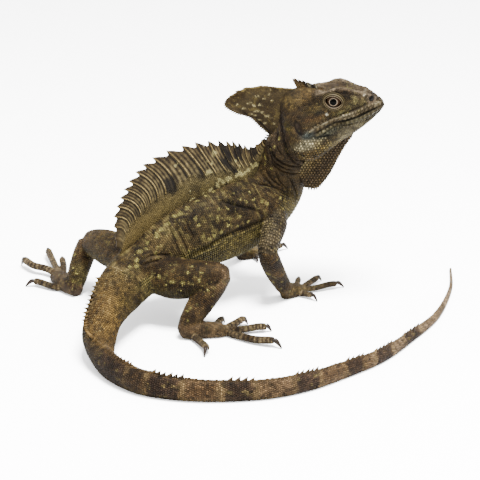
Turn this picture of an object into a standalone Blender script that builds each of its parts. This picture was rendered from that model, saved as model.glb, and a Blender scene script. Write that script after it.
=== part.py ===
# Brown basilisk at life size, standing with its neck raised and its tail laid round beside it.
# Lengths are in millimetres until a mesh is made. +X is the way the snout points, the animal's
# left is towards +Y, and it stands on z = 0.

import random
from math import copysign, cos, pi, radians, sin

import bmesh
import bpy
from mathutils import Matrix, Vector

MM = 0.001
GAP = 0.3  # clear space between two nodes
SINK = 0.3  # how much of a sole or a tail's underside is cut away flat at the floor

# Head: the jaw joint, the way it faces, and its profile lines as (forward of the joint, value)
JAW_JOINT = Vector((28.2, 34.0, 81.0))
HEAD_TURN = radians(-6)
HEAD_RISE = radians(22)
HEAD_CUTS = (-9, -7, -4, -1, 2, 5, 8.5, 12, 15.5, 19, 22.5, 26, 29.5, 33, 36, 38.6, 40.3, 41.2)
TOP_UP = ((-9, 5), (-6, 11.5), (-3, 17.2), (1, 19.8), (6, 20), (10, 19), (13, 17.4), (17, 15.2), (20, 13.7),
          (26, 11.8), (31, 9.6), (36, 6.6), (41.2, 1.4))
BROW_UP = ((-9, 4), (-5, 10), (-2, 14.6), (3, 16.8), (8, 17.2), (13, 16.5), (17, 15.8), (20, 15.5),
           (22.5, 15.7), (26, 14.8), (31, 11.2), (36, 7.4), (41.2, 1.3))
BROW_OUT = ((-9, 4), (-4, 5.6), (2, 6.6), (8, 7), (14, 7.9), (21, 8.4), (26, 7.2), (31, 5.4), (36, 4.1),
            (41.2, 0.9))
CHEEK_UP = ((-9, 3), (0, 5), (8, 7), (20, 8.6), (26, 8), (31, 6), (36, 4), (41.2, 0.9))
CHEEK_OUT = ((-9, 5), (-3, 11), (3, 12.2), (10, 10.4), (16, 9), (26, 8), (31, 6.9), (36, 5.3), (41.2, 1.1))
LIP_OUT = ((-9, 5), (-3, 11.4), (3, 12.8), (10, 11.6), (18, 10), (26, 8.7), (33, 6.9), (38, 4.9), (41.2, 1.2))
JAW_OUT = ((-9, 4.5), (-3, 11), (3, 11.8), (10, 10), (18, 8.4), (26, 7), (33, 5.4), (38, 3.6), (41.2, 0.8))
CHIN_UP = ((-9, -5), (-4, -10), (1, -12.4), (6, -12.2), (16, -10.2), (26, -8), (32, -6), (38, -3.4),
           (41.2, -1.5))
JOWL = ((-9, 0.0), (-4, 0.8), (2, 1.0), (9, 1.0), (17, 0.2), (41.2, 0.0))  # how full the jaw muscle is
LIP = 1.4  # height of either lip's edge from the line of the mouth
MOUTH_CORNER = 6.0
EYE = (21.0, 5.1, 10.3)
EYE_RADIUS = 3.9
LID_THICK = 0.65
LID_OPENING = (3.2, 2.35)
NOSTRIL = (37.2, 4.1, 4.7)
EAR = (2.3, 12.6, 4.9)

# Spine from inside the head to the end of the tail's raised base: centre, half width, height above
# and below the centre, and the sideways lean of the back's ridge
SPINE = (
    (27.0, 34.2, 84.0, 7.0, 7.0, 7.0, -1.0, 0.1),
    (24.0, 35.5, 74.0, 9.0, 11.0, 9.0, -1.0, 0.1),
    (21.0, 37.8, 63.5, 9.0, 11.0, 9.5, -1.0, 0.0),
    (18.0, 39.0, 54.0, 10.0, 12.0, 13.0, -0.95, -0.2),
    (11.0, 36.5, 45.5, 12.0, 15.0, 15.5, -0.87, -0.5),
    (-3.0, 29.0, 40.5, 13.0, 17.0, 18.5, -0.87, -0.5),
    (-16.0, 21.5, 38.5, 13.0, 16.0, 18.5, -0.87, -0.5),
    (-31.0, 13.0, 33.5, 12.0, 15.0, 16.0, -0.87, -0.5),
    (-42.0, 6.0, 27.0, 11.0, 13.0, 13.0, -0.87, -0.5),
    (-52.6, -8.5, 20.2, 9.0, 12.2, 10.5, -1.0, -0.3),
    (-60.3, -27.6, 15.8, 7.8, 8.0, 8.8, -1.0, 0.0),
    (-62.3, -40.5, 9.8, 7.0, 7.0, 8.0, -0.8, 0.0),
)
# The rest of the tail on the floor: where its middle runs and half its height there
TAIL = (
    (-59.2, -54.0, 6.8), (-50.8, -67.5, 6.0), (-38.0, -77.3, 5.4), (-16.6, -82.4, 4.8),
    (9.0, -80.6, 4.4), (28.0, -73.0, 4.1), (45.0, -60.0, 3.7), (62.5, -43.8, 3.2),
    (76.6, -22.9, 2.6), (91.0, 2.8, 1.9), (100.5, 36.0, 1.1), (103.1, 63.0, 0.6),
)
TAIL_FLATNESS = 0.7
TAIL_LEAN = (-0.15, 0.0)
STEPS = 3
BODY_SIDES = 16
draw = random.Random(7)


def curve(line, x):
    """Value at x of the smooth line through (x, value) points."""
    if x <= line[0][0]:
        return line[0][1]
    if x >= line[-1][0]:
        return line[-1][1]
    i = max(k for k in range(len(line) - 1) if line[k][0] <= x)

    def slope(k):
        before, after = line[max(k - 1, 0)], line[min(k + 1, len(line) - 1)]
        return (after[1] - before[1]) / (after[0] - before[0])

    (x0, y0), (x1, y1) = line[i], line[i + 1]
    width = x1 - x0
    t = (x - x0) / width
    level = (2 * t**3 - 3 * t**2 + 1) * y0 + (3 * t**2 - 2 * t**3) * y1
    return level + ((t**3 - 2 * t**2 + t) * slope(i) + (t**3 - t**2) * slope(i + 1)) * width


def spline(rows, steps):
    """The rows with steps - 1 more between each two, on a smooth curve through all columns."""
    found = []
    for i in range(len(rows) - 1):
        a, b = rows[i], rows[i + 1]
        before = rows[i - 1] if i else [2 * p - q for p, q in zip(a, b)]
        after = rows[i + 2] if i + 2 < len(rows) else [2 * q - p for p, q in zip(a, b)]
        for k in range(steps):
            t = k / steps
            found.append([
                0.5 * (2 * q + (r - p) * t + (2 * p - 5 * q + 4 * r - s) * t**2
                       + (3 * q - p - 3 * r + s) * t**3)
                for p, q, r, s in zip(before, a, b, after)
            ])
    found.append(list(rows[-1]))
    return found


def mix(a, b, t):
    return a + (b - a) * t


def loft(rings):
    """Closed mesh through rings with equally many points, with flat ends."""
    bm = bmesh.new()
    rows = [[bm.verts.new(p * MM) for p in ring] for ring in rings]
    for a, b in zip(rows, rows[1:]):
        for k in range(len(a)):
            m = (k + 1) % len(a)
            bm.faces.new((a[k], a[m], b[m], b[k]))
    bm.faces.new(rows[0])
    bm.faces.new(rows[-1])
    bmesh.ops.triangulate(bm, faces=bm.faces)
    bmesh.ops.recalc_face_normals(bm, faces=bm.faces)
    return bm


def frames(rows, hint=None):
    """Centre, forward, side and up at each row. The last two columns or the hint say which way is up."""
    for i, row in enumerate(rows):
        forward = Vector(rows[min(i + 1, len(rows) - 1)][:3]) - Vector(rows[max(i - 1, 0)][:3])
        forward.normalize()
        up = Vector(hint) if hint else Vector((row[6], row[7], 1.0))
        up = (up - forward * up.dot(forward)).normalized()
        yield Vector(row[:3]), forward, forward.cross(up), up


def oval(sides, wide, up, down, full=2.2, roof=0.0):
    """Points of a cross-section, as (sideways, upwards), fuller than an ellipse or narrowed above."""
    for k in range(sides):
        c, s = cos(2 * pi * k / sides), sin(2 * pi * k / sides)
        x = copysign(abs(c) ** (2 / full), c) * wide
        y = copysign(abs(s) ** (2 / full), s) * (up if s > 0 else down)
        yield x * (1 - roof * max(s, 0.0)), y


def tube(rows, sides, hint=None, grow=0.0, full=2.2, roof=0.0):
    """Rings of a tube along rows of centre, half width, height above and height below."""
    rings = []
    for i, (centre, forward, side, up) in enumerate(frames(rows, hint)):
        if grow:
            centre = centre + forward * grow * ((i == len(rows) - 1) - (i == 0))
        wide, above, below = (size + grow for size in rows[i][3:6])
        rings.append([centre + side * x + up * y for x, y in oval(sides, wide, above, below, full, roof)])
    return rings


def material(name, colour, roughness):
    found = bpy.data.materials.get(name) or bpy.data.materials.new(name)
    found.use_nodes = True
    shader = found.node_tree.nodes["Principled BSDF"]
    shader.inputs["Base Color"].default_value = (*colour, 1.0)
    shader.inputs["Roughness"].default_value = roughness
    found.diffuse_color = (*colour, 1.0)
    return found


def put(name, bm, collection, look=None):
    """Object of this name from a mesh under construction."""
    mesh = bpy.data.meshes.new(name)
    bm.to_mesh(mesh)
    bm.free()
    obj = bpy.data.objects.new(name, mesh)
    collection.objects.link(obj)
    if look:
        mesh.materials.append(look)
    return obj


def cutter(name, bm):
    obj = put(name, bm, cutters)
    obj.hide_render = True
    obj.display_type = "WIRE"
    return obj


def settle(obj):
    """Applies the modifiers, keeps the largest closed surface and welds slivers."""
    graph = bpy.context.evaluated_depsgraph_get()
    old = obj.data
    obj.data = bpy.data.meshes.new_from_object(obj.evaluated_get(graph), depsgraph=graph)
    obj.modifiers.clear()
    bpy.data.meshes.remove(old)
    bm = bmesh.new()
    bm.from_mesh(obj.data)
    bmesh.ops.triangulate(bm, faces=bm.faces)
    left = set(bm.faces)
    shells = []
    while left:
        shell, edge = set(), [left.pop()]
        while edge:
            face = edge.pop()
            shell.add(face)
            for side in face.edges:
                near = [f for f in side.link_faces if f in left]
                left.difference_update(near)
                edge.extend(near)
        shells.append(shell)
    largest = max(shells, key=lambda shell: sum(face.calc_area() for face in shell))
    spare = [face for face in bm.faces if face not in largest]
    bmesh.ops.delete(bm, geom=spare, context="FACES")
    bmesh.ops.dissolve_limit(bm, angle_limit=radians(1.0), verts=bm.verts, edges=bm.edges)
    bmesh.ops.triangulate(bm, faces=bm.faces)
    bm.to_mesh(obj.data)
    bm.free()
    obj.data.name = obj.name


def boolean(obj, other, operation="DIFFERENCE"):
    modifier = obj.modifiers.new(operation.title(), "BOOLEAN")
    modifier.operation = operation
    modifier.object = other
    settle(obj)


def fuse(obj, meshes):
    """Joins closed meshes to an object, by one union on a collection of them."""
    if not meshes:
        return
    together = bpy.data.collections.new(obj.name + " pieces")
    bpy.context.scene.collection.children.link(together)
    for i, bm in enumerate(meshes):
        put(f"{obj.name} piece {i + 1}", bm, together)
    modifier = obj.modifiers.new("Union", "BOOLEAN")
    modifier.operation = "UNION"
    modifier.operand_type = "COLLECTION"
    modifier.collection = together
    modifier.solver = "MANIFOLD"
    settle(obj)
    for piece in list(together.objects):
        bpy.data.objects.remove(piece)
    bpy.data.collections.remove(together)


for leftover in list(bpy.data.objects):
    bpy.data.objects.remove(leftover)
basilisk = bpy.data.collections.new("brown basilisk")
cutters = bpy.data.collections.new("cutters")
cutters.hide_render = True
for group in (basilisk, cutters):
    bpy.context.scene.collection.children.link(group)

OLIVE = material("body skin", (0.165, 0.135, 0.070), 0.62)
HEAD_SKIN = material("head skin", (0.180, 0.150, 0.090), 0.60)
CREST_SKIN = material("crest skin", (0.215, 0.160, 0.075), 0.62)
LEG_SKIN = material("leg skin", (0.115, 0.090, 0.052), 0.62)
TAIL_SKIN = material("tail skin", (0.235, 0.165, 0.085), 0.62)
THROAT_SKIN = material("throat skin", (0.200, 0.165, 0.110), 0.62)
EYE_GLOSS = material("eye", (0.045, 0.028, 0.016), 0.12)

# Floor: everything that stands on it is cut flat at z = 0
ground = bmesh.new()
bmesh.ops.create_cube(ground, size=1.0)
for vert in ground.verts:
    vert.co = Vector((vert.co.x * 0.3, vert.co.y * 0.3, (vert.co.z - 0.5) * 0.02))
floor = cutter("floor block", ground)

# Spine: one path from the head to the tip of the tail, which the nodes of the body share
path = list(SPINE)
for x, y, half in TAIL:
    share = max(0.0, 1 - TAIL.index((x, y, half)) / 2)
    path.append((x, y, half - SINK, half * TAIL_FLATNESS, half, half, TAIL_LEAN[0] * share,
                 TAIL_LEAN[1] * share))
body_rows = spline(path, STEPS)
body_frames = list(frames(body_rows))


def body_rings(start, end, grow=0.0):
    """Rings of the body between two rows of the path, each end half a gap short."""
    rings = []
    for i in range(start * STEPS, end * STEPS + 1):
        centre, forward, side, up = body_frames[i]
        ends = (i == start * STEPS) - (i == end * STEPS)
        centre = centre + forward * (GAP / 2 - 2 * grow) * ends
        wide, above, below = (size + grow for size in body_rows[i][3:6])
        points = oval(BODY_SIDES, wide, above, below, 2.25, 0.18)
        rings.append([centre + side * x + up * y for x, y in points])
    return rings


# Head: a loft of cross-sections, parted along the mouth, with eye sockets, lids, nostrils and ears
FORE = Vector((cos(HEAD_RISE) * cos(HEAD_TURN), cos(HEAD_RISE) * sin(HEAD_TURN), sin(HEAD_RISE)))
LEFT = Vector((-sin(HEAD_TURN), cos(HEAD_TURN), 0.0))
CROWN = FORE.cross(LEFT)


def head_point(fore, left, up):
    return JAW_JOINT + FORE * fore + LEFT * left + CROWN * up


def head_ring(fore, grow=0.0):
    """Cross-section of the head, from the crown down its left side and up its right side."""
    top, chin = curve(TOP_UP, fore) + grow, curve(CHIN_UP, fore) - grow
    brow = (curve(BROW_OUT, fore) + grow, curve(BROW_UP, fore) + grow)
    cheek = (curve(CHEEK_OUT, fore) + grow, curve(CHEEK_UP, fore))
    lip, jaw = curve(LIP_OUT, fore) + grow, curve(JAW_OUT, fore) + grow
    full = curve(JOWL, fore)
    edge = LIP * min(1.0, max(0.35, (41.8 - fore) / 3))
    half = [
        (brow[0] * 0.5, mix(top, brow[1], 0.45)), brow,
        (mix(brow[0], cheek[0], 0.7), mix(brow[1], cheek[1], 0.45)), cheek,
        (mix(cheek[0], lip, 0.6), mix(edge, cheek[1], 0.5)), (lip, edge), (lip - 0.7, 0.0),
        (lip - 0.1, -edge),
        (jaw, chin * mix(0.5, 0.64, full)), (jaw * mix(0.6, 0.8, full), chin * mix(0.9, 0.97, full)),
    ]
    ring = [(0.0, top), *half, (0.0, chin), *((-x, z) for x, z in reversed(half))]
    return [head_point(fore, x, z) for x, z in ring]


def head_form(grow=0.0):
    return loft([head_ring(f + grow * ((f == HEAD_CUTS[-1]) - (f == HEAD_CUTS[0])), grow) for f in HEAD_CUTS])


def mouth_block(name, grow):
    """Block that takes in everything in front of the mouth's corner and below its line."""
    bm = bmesh.new()
    bmesh.ops.create_cube(bm, size=2.0)
    back, top = MOUTH_CORNER - grow, grow
    for vert in bm.verts:
        vert.co = head_point(back if vert.co.x < 0 else 50, vert.co.y * 20,
                             top if vert.co.z > 0 else -20) * MM
    bmesh.ops.recalc_face_normals(bm, faces=bm.faces)
    return cutter(name, bm)


def ball(centre, sizes, segments=16, rings=10):
    """Ellipsoid in the head's own directions."""
    bm = bmesh.new()
    bmesh.ops.create_uvsphere(bm, u_segments=segments, v_segments=rings, radius=1.0)
    for vert in bm.verts:
        x, y, z = (c + v * s for c, v, s in zip(centre, vert.co, sizes))
        vert.co = head_point(x, y, z) * MM
    bmesh.ops.recalc_face_normals(bm, faces=bm.faces)
    return bm


head = put("head", head_form(), basilisk, HEAD_SKIN)
lower_jaw = put("lower_jaw", head_form(), basilisk, HEAD_SKIN)
boolean(lower_jaw, mouth_block("jaw block", -GAP / 2), "INTERSECT")
boolean(head, mouth_block("mouth block", GAP / 2))
lid = EYE_RADIUS + GAP + LID_THICK
sides = (("left", 1), ("right", -1))
fuse(head, [ball((EYE[0], EYE[1] * way, EYE[2]), (lid, lid, lid), 14, 10) for _, way in sides])
for word, way in sides:
    seat = (EYE[0], EYE[1] * way, EYE[2])
    socket = EYE_RADIUS + GAP
    opening = (EYE[0], (EYE[1] + 5.0) * way, EYE[2] - 0.1)
    boolean(head, cutter(f"{word} lid opening", ball(opening, (LID_OPENING[0], 4.0, LID_OPENING[1]), 12, 8)))
    boolean(head, cutter(f"{word} socket", ball(seat, (socket,) * 3, 14, 10)))
    nostril = (NOSTRIL[0], NOSTRIL[1] * way, NOSTRIL[2])
    boolean(head, cutter(f"{word} nostril", ball(nostril, (0.9, 1.2, 0.7), 10, 6)))
    ear = (EAR[0], EAR[1] * way, EAR[2])
    boolean(head, cutter(f"{word} ear hole", ball(ear, (1.5, 1.6, 3.4), 12, 8)))
    put(f"eye_{word}", ball(seat, (EYE_RADIUS,) * 3, 14, 10), basilisk, EYE_GLOSS)

# Body: neck, torso and tail are lengths of one tube along the spine
head_clear = cutter("head clearance", head_form(GAP))
body_clear = cutter("body clearance", loft(body_rings(0, 12, GAP)))
BODY = (
    ("neck", 0, 3, OLIVE), ("torso_front", 3, 6, OLIVE), ("torso_rear", 6, 9, OLIVE),
    ("tail_1", 9, 11, TAIL_SKIN),
    ("tail_2", 11, 14, TAIL_SKIN), ("tail_3", 14, 16, TAIL_SKIN), ("tail_4", 16, 18, TAIL_SKIN),
    ("tail_5", 18, 20, TAIL_SKIN), ("tail_6", 20, 23, TAIL_SKIN),
)
for name, start, end, look in BODY:
    node = put(name, loft(body_rings(start, end)), basilisk, look)
    if name == "neck":
        boolean(node, head_clear)
    if name.startswith("tail"):
        boolean(node, floor)


# Crests: thin membranes that stand on the middle of the head, neck and back
def vane(base, edge, across, thick, rows=4, ridges=None):
    """Closed membrane between two lines of points, tapering from thick[0] to thick[1].

    Each ridge is how far that column stands out of either face at its root."""
    bm = bmesh.new()
    faces = []
    for way in (1, -1):
        grid = []
        for j in range(rows + 1):
            t = j / rows
            half = mix(thick[0], thick[1], t**0.7) / 2
            grid.append([
                bm.verts.new((b.lerp(e, t) + across * way * (half + ridge * (1 - 0.6 * t))) * MM)
                for b, e, ridge in zip(base, edge, ridges or [0.0] * len(base))
            ])
        faces.append(grid)
    left, right = faces
    for grid in faces:
        for a, b in zip(grid, grid[1:]):
            for i in range(len(a) - 1):
                bm.faces.new((a[i], a[i + 1], b[i]))
                bm.faces.new((a[i + 1], b[i + 1], b[i]))
    rim = [row[0] for row in left] + left[-1][1:-1] + [row[-1] for row in reversed(left)] + left[0][-2:0:-1]
    rim_right = [row[0] for row in right] + right[-1][1:-1] + [row[-1] for row in reversed(right)] + right[0][-2:0:-1]
    for i in range(len(rim)):
        m = (i + 1) % len(rim)
        bm.faces.new((rim[i], rim[m], rim_right[m]))
        bm.faces.new((rim[i], rim_right[m], rim_right[i]))
    bmesh.ops.recalc_face_normals(bm, faces=bm.faces)
    return bm


def head_line(points, count):
    """Points spread evenly along a line through (forward, up) points in the head's middle plane."""
    fine = spline(points, 12)
    steps = [0.0]
    for a, b in zip(fine, fine[1:]):
        steps.append(steps[-1] + ((b[0] - a[0]) ** 2 + (b[1] - a[1]) ** 2) ** 0.5)
    found = []
    for k in range(count):
        want = steps[-1] * k / (count - 1)
        i = min(max(n for n in range(len(steps)) if steps[n] <= want + 1e-9), len(fine) - 2)
        t = (want - steps[i]) / (steps[i + 1] - steps[i])
        found.append(head_point(mix(fine[i][0], fine[i + 1][0], t), 0.0, mix(fine[i][1], fine[i + 1][1], t)))
    return found


LOBE_BASE = ((6.5, 11.0), (0.0, 9.0), (-5.0, 6.5), (-9.5, 2.0))
LOBE_EDGE = ((6.0, 19.6), (-2.0, 23.4), (-9.0, 26.6), (-17.0, 28.2), (-24.0, 27.2), (-28.3, 23.6),
             (-24.6, 18.2),
             (-19.6, 14.4), (-16.8, 8.6), (-14.2, 3.4))
FRONT_BASE = ((18.0, 11.0), (7.2, 11.0))
FRONT_EDGE = ((17.0, 16.2), (13.6, 19.4), (9.7, 22.5), (5.8, 24.9))
THROAT_BASE = ((22.0, -6.5), (12.0, -8.0), (2.0, -11.0), (-8.0, -17.0))
THROAT_EDGE = ((22.6, -9.8), (16.9, -13.9), (11.7, -18.3), (7.0, -22.8), (2.1, -26.4), (-3.0, -28.8),
               (-8.0, -26.8))
jaw_clear = cutter("jaw clearance", head_form(GAP))
for name, base, edge, thick, look in (
    ("head_crest", LOBE_BASE, LOBE_EDGE, (5.0, 1.2), CREST_SKIN),
    ("front_crest", FRONT_BASE, FRONT_EDGE, (2.6, 0.8), CREST_SKIN),
    ("throat_fan", THROAT_BASE, THROAT_EDGE, (5.5, 1.8), THROAT_SKIN),
):
    count = 13 if name != "front_crest" else 7
    node = put(name, vane(head_line(base, count), head_line(edge, count), LEFT, thick), basilisk, look)
    boolean(node, head_clear)
    boolean(node, body_clear)

# Back crest: a high sail from the nape to the hips, held out in one upright plane
SAIL_PLANE_AT = Vector((-42.0, 6.0, 0.0))
SAIL_ALONG = Vector((0.864, 0.503, 0.0))
SAIL_FROM, SAIL_TO = 1.25, 9.1
# Where the rays end, as shares of the sail's length
RAY_TIPS = (0.022, 0.065, 0.108, 0.15, 0.19, 0.226, 0.262, 0.305, 0.36, 0.425, 0.487,
            0.553, 0.622, 0.68, 0.727, 0.77, 0.8, 0.83, 0.86, 0.895, 0.93, 0.968)
SAIL_EDGE_ALONG = ((0.0, 62.6), (0.12, 54.0), (0.22, 46.0), (0.45, 23.0), (0.6, 6.0), (0.75, -7.0),
                   (0.88, -16.0), (1.0, -16.5))
SAIL_EDGE_UP = ((0.0, 76.5), (0.06, 74.0), (0.12, 73.6), (0.22, 77.4), (0.38, 80.5), (0.5, 80.0),
                (0.62, 77.2), (0.74, 71.0), (0.87, 56.0), (1.0, 38.0))


def back_point(at, above):
    """Point above the back's ridge, at a place counted in rows of the spine."""
    place = at * STEPS
    i = min(int(place), len(body_rows) - 2)
    t = place - i
    ends = []
    for k in (i, i + 1):
        centre, _, _, up = body_frames[k]
        ends.append(centre + up * (body_rows[k][4] + above))
    return ends[0].lerp(ends[1], t)


notches = [0.0] + [(a + b) / 2 for a, b in zip(RAY_TIPS, RAY_TIPS[1:])] + [1.0]
columns = []  # place along the sail, height of the ray's ridge, depth of the notch
for start, tip, end in zip(notches, RAY_TIPS, notches[1:]):
    columns += [(start, 0.0, 0.12), (mix(start, tip, 0.6), 0.0, 0.06), (tip, 0.4, 0.0),
                (mix(tip, end, 0.4), 0.0, 0.05)]
columns.append((1.0, 0.0, 0.12))
base, edge, ridges = [], [], []
for t, ridge, notch in columns:
    lean = 0.14 * sin(pi * min(t / 0.65, 1))
    root = back_point(mix(SAIL_FROM, SAIL_TO, t + lean), -2.5)
    tip = SAIL_PLANE_AT + SAIL_ALONG * curve(SAIL_EDGE_ALONG, t) + Vector((0, 0, curve(SAIL_EDGE_UP, t)))
    base.append(root)
    edge.append(tip.lerp(root, notch))
    ridges.append(ridge)
sail_side = Vector((-SAIL_ALONG.y, SAIL_ALONG.x, 0.0))
back_crest = put("back_crest", vane(base, edge, sail_side, (1.7, 0.6), 4, ridges), basilisk, CREST_SKIN)
boolean(back_crest, body_clear)
boolean(back_crest, cutter("lobe clearance", vane(head_line(LOBE_BASE, 13), head_line(LOBE_EDGE, 13), LEFT,
                                                  (5.6, 1.8))))


# Tail crest: a row of flat spines along the tail's ridge, longer where the tail is banded dark
TAIL_CREST = (9.12, 20.6)
CREST_HEIGHT = ((9.1, 4.6), (10.0, 3.6), (11.0, 2.4), (12.5, 2.0), (14.0, 2.0), (17.0, 1.9), (20.6, 1.1))
CREST_PITCH = ((9.1, 0.15), (10.0, 0.14), (12.0, 0.17), (14.0, 0.12), (18.0, 0.13), (20.6, 0.15))
BANDS = ((14.0, 14.6), (15.4, 15.85), (16.85, 17.4), (18.1, 18.55), (18.9, 19.4), (19.8, 20.25))


def crest_spine(at, high, long, thick):
    """Flat spine swept back along the tail, with its root sunk in the ridge."""
    bm = bmesh.new()
    rings = []
    for share, ahead, width, depth in ((-0.9, 0.0, 1.0, 1.0), (0.5, 0.2, 0.85, 0.9), (1.0, 1.0, 0.14, 0.35)):
        here = back_point(at, high * share if share > 0 else -1.6)
        along = back_point(at + 0.02, 0.0) - back_point(at - 0.02, 0.0)
        along.normalize()
        up = (back_point(at, 1.0) - back_point(at, 0.0)).normalized()
        side = along.cross(up).normalized()
        here = here + along * (ahead * high * 0.55)
        rings.append([bm.verts.new((here + along * a * long * width / 2 + side * b * thick * depth / 2) * MM)
                      for a, b in ((-1, 0), (0, 1), (1, 0), (0, -1))])
    for a, b in zip(rings, rings[1:]):
        for k in range(4):
            m = (k + 1) % 4
            bm.faces.new((a[k], a[m], b[m], b[k]))
    bm.faces.new(rings[0])
    bm.faces.new(rings[-1])
    bmesh.ops.triangulate(bm, faces=bm.faces)
    bmesh.ops.recalc_face_normals(bm, faces=bm.faces)
    return bm


crest = {}
at = TAIL_CREST[0]
while at < TAIL_CREST[1]:
    name = next(n for n, start, end, _ in BODY if start <= at < end)
    start, end = next((s, e) for n, s, e, _ in BODY if n == name)
    banded = any(a < at < b for a, b in BANDS)
    high = curve(CREST_HEIGHT, at) * draw.uniform(0.85, 1.1) * (1.5 if banded else 0.9)
    pitch = curve(CREST_PITCH, at)
    if start + 0.06 < at < end - 0.12:
        crest.setdefault(name, []).append(crest_spine(at, high, 0.55 * high + 1.3, 1.15))
    at += pitch
for name, spines in crest.items():
    fuse(bpy.data.objects[name], spines)


# Legs: each length is a tube whose root is cut to fit the one above it
def limb(name, rows, hint, above, look, sides=10):
    """A length of leg, cut clear of what it grows from, and the cutter for what grows from it."""
    rows = spline(rows, 2)
    node = put(name, loft(tube(rows, sides, hint)), basilisk, look)
    for other in above:
        boolean(node, other)
    return node, cutter(name.replace("_", " ") + " clearance", loft(tube(rows, sides, hint, GAP)))


def digit(points, tip, girth, sides=6):
    """A toe and its claw: points are (x, y, lift off the floor), and the tip is the claw's."""
    rows = []
    for i, (x, y, lift) in enumerate(points):
        r = mix(girth, girth * 0.72, i / (len(points) - 1))
        rows.append((x, y, r - SINK + lift, r, r, r))
    x, y, z = rows[-1][:3]
    ahead = Vector((x - rows[-2][0], y - rows[-2][1], 0)).normalized()
    end = Vector((x, y, z)) + ahead * girth * 0.7
    rows.append((*end, *(girth * 0.4,) * 3))
    toe = loft(tube(spline(rows, 2), sides, (0, 0, 1)))
    claw = girth * 0.5
    tip = Vector(tip)
    back = Vector((x, y, z)) - ahead * 0.4
    knuckle = Vector((x, y, z)).lerp(tip, 0.5) + Vector((0, 0, 0.9 + z * 0.2))
    rows = [(*back, *(claw,) * 3), (*knuckle, *(claw * 0.75,) * 3), (*tip, *(0.16,) * 3)]
    return [toe, loft(tube(spline(rows, 2), 5, ahead))]


def foot(name, sole, digits, above, hint=(0, 0, 1)):
    """Sole with its toes fused on, cut flat at the floor and clear of the leg."""
    node = put(name, loft(tube(spline(sole, 2), 10, hint, 0.0, 2.6)), basilisk, LEG_SKIN)
    pieces = []
    for points, tip, girth in digits:
        pieces += digit(points, tip, girth)
    fuse(node, pieces)
    for other in (*above, floor):
        boolean(node, other)
    return node


LEGS = {
    "right_thigh": ((-40, 3, 23, 8.5, 8.5, 8.5), (-29, -2.5, 22.5, 9.2, 9, 9.2), (-17, -5, 24, 8, 7.8, 7.8),
                    (-8.5, -5, 25.5, 5.6, 5.6, 5.6), (-4.2, -4.6, 25.8, 2.4, 2.6, 2.6)),
    "right_shin": ((-7, -4.5, 26.4, 4.4, 4.4, 4.4), (-12.3, -8, 20, 5.5, 5.5, 5.5),
                   (-18.6, -12.5, 12.5, 5.4, 5.4, 5.4),
                   (-23.4, -17, 5.6, 4.2, 4, 4), (-25, -18.3, 3.4, 2.6, 2.6, 2.6)),
    "left_thigh": ((-44, 8, 25, 8.5, 8.5, 8.5), (-53, 19, 25.5, 9, 9, 9), (-62, 30, 25, 8, 8, 8),
                   (-69, 40, 23.5, 5.8, 5.8, 5.8), (-72, 44, 22.8, 2.6, 2.8, 2.8)),
    "left_shin": ((-71.5, 42.5, 23, 4.6, 4.6, 4.6), (-73.5, 40, 17, 5.2, 5.2, 5.2),
                  (-76, 36, 10.5, 4.8, 4.8, 4.8),
                  (-77.8, 33, 4.6, 4.2, 4, 4), (-78.4, 32, 3.2, 2.6, 2.6, 2.6)),
    "right_upper_arm": ((14, 35, 42, 6.4, 6.4, 6.4), (17, 27, 38.5, 5.6, 5.6, 5.6),
                        (14.5, 19.5, 33, 4.9, 4.9, 4.9),
                        (12.7, 15.6, 29, 4.3, 4.3, 4.3), (12, 14.4, 27.4, 2.2, 2.2, 2.2)),
    "right_forearm": ((12.6, 15, 30, 3.8, 3.8, 3.8), (14.5, 17.2, 23, 4.7, 4.7, 4.7), (18.3, 22, 13, 4, 4, 4),
                      (21.6, 26, 5.6, 3.4, 3.4, 3.4), (22.4, 27, 3.6, 2.2, 2.2, 2.2)),
    "left_upper_arm": ((9, 41, 41, 6.2, 6.2, 6.2), (3, 49, 37, 5.4, 5.4, 5.4), (-3, 56, 31, 4.8, 4.8, 4.8),
                       (-6, 60, 27, 4.3, 4.3, 4.3), (-7, 61.4, 25.4, 2.2, 2.2, 2.2)),
    "left_forearm": ((-6.4, 60, 28, 3.8, 3.8, 3.8), (-5.2, 63, 21.5, 4.7, 4.7, 4.7),
                     (-2.6, 69, 12.5, 4, 4, 4),
                     (-0.4, 74, 5.6, 3.4, 3.4, 3.4), (0.2, 75.2, 3.8, 2.2, 2.2, 2.2)),
}
SOLES = {
    "right_hind_foot": ((-27.2, -18.8, 2.6, 2.4, 2, 2.9), (-24, -18, 3.9, 4, 3.8, 4.2),
                        (-16, -16.2, 3.3, 4.5, 3.3, 3.6),
                        (-9, -14.6, 2.5, 4.9, 2.5, 2.8), (-5.4, -13.8, 2.1, 3.4, 1.5, 2.4)),
    "left_hind_foot": ((-75.8, 28.6, 2.6, 2.6, 2, 2.9), (-78.6, 32.4, 3.9, 4, 3.8, 4.2),
                       (-83, 39, 3.3, 4.6, 3.3, 3.6),
                       (-86.2, 47.4, 2.5, 4.8, 2.5, 2.8), (-87.6, 51, 2.1, 3.4, 1.5, 2.4)),
    "right_hand": ((20.6, 25.2, 2.4, 2, 1.8, 2.7), (22.6, 27.6, 3.3, 3.4, 3, 3.6),
                   (27, 32, 2.8, 4.2, 2.6, 3.1),
                   (30.2, 35.2, 2, 3.4, 1.6, 2.3)),
    "left_hand": ((-1, 74, 2.4, 2, 1.8, 2.7), (1.4, 75.8, 3.3, 3.4, 3, 3.6), (6.4, 79, 2.8, 4.2, 2.6, 3.1),
                  (10.2, 81.2, 2, 3.4, 1.6, 2.3)),
}
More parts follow.
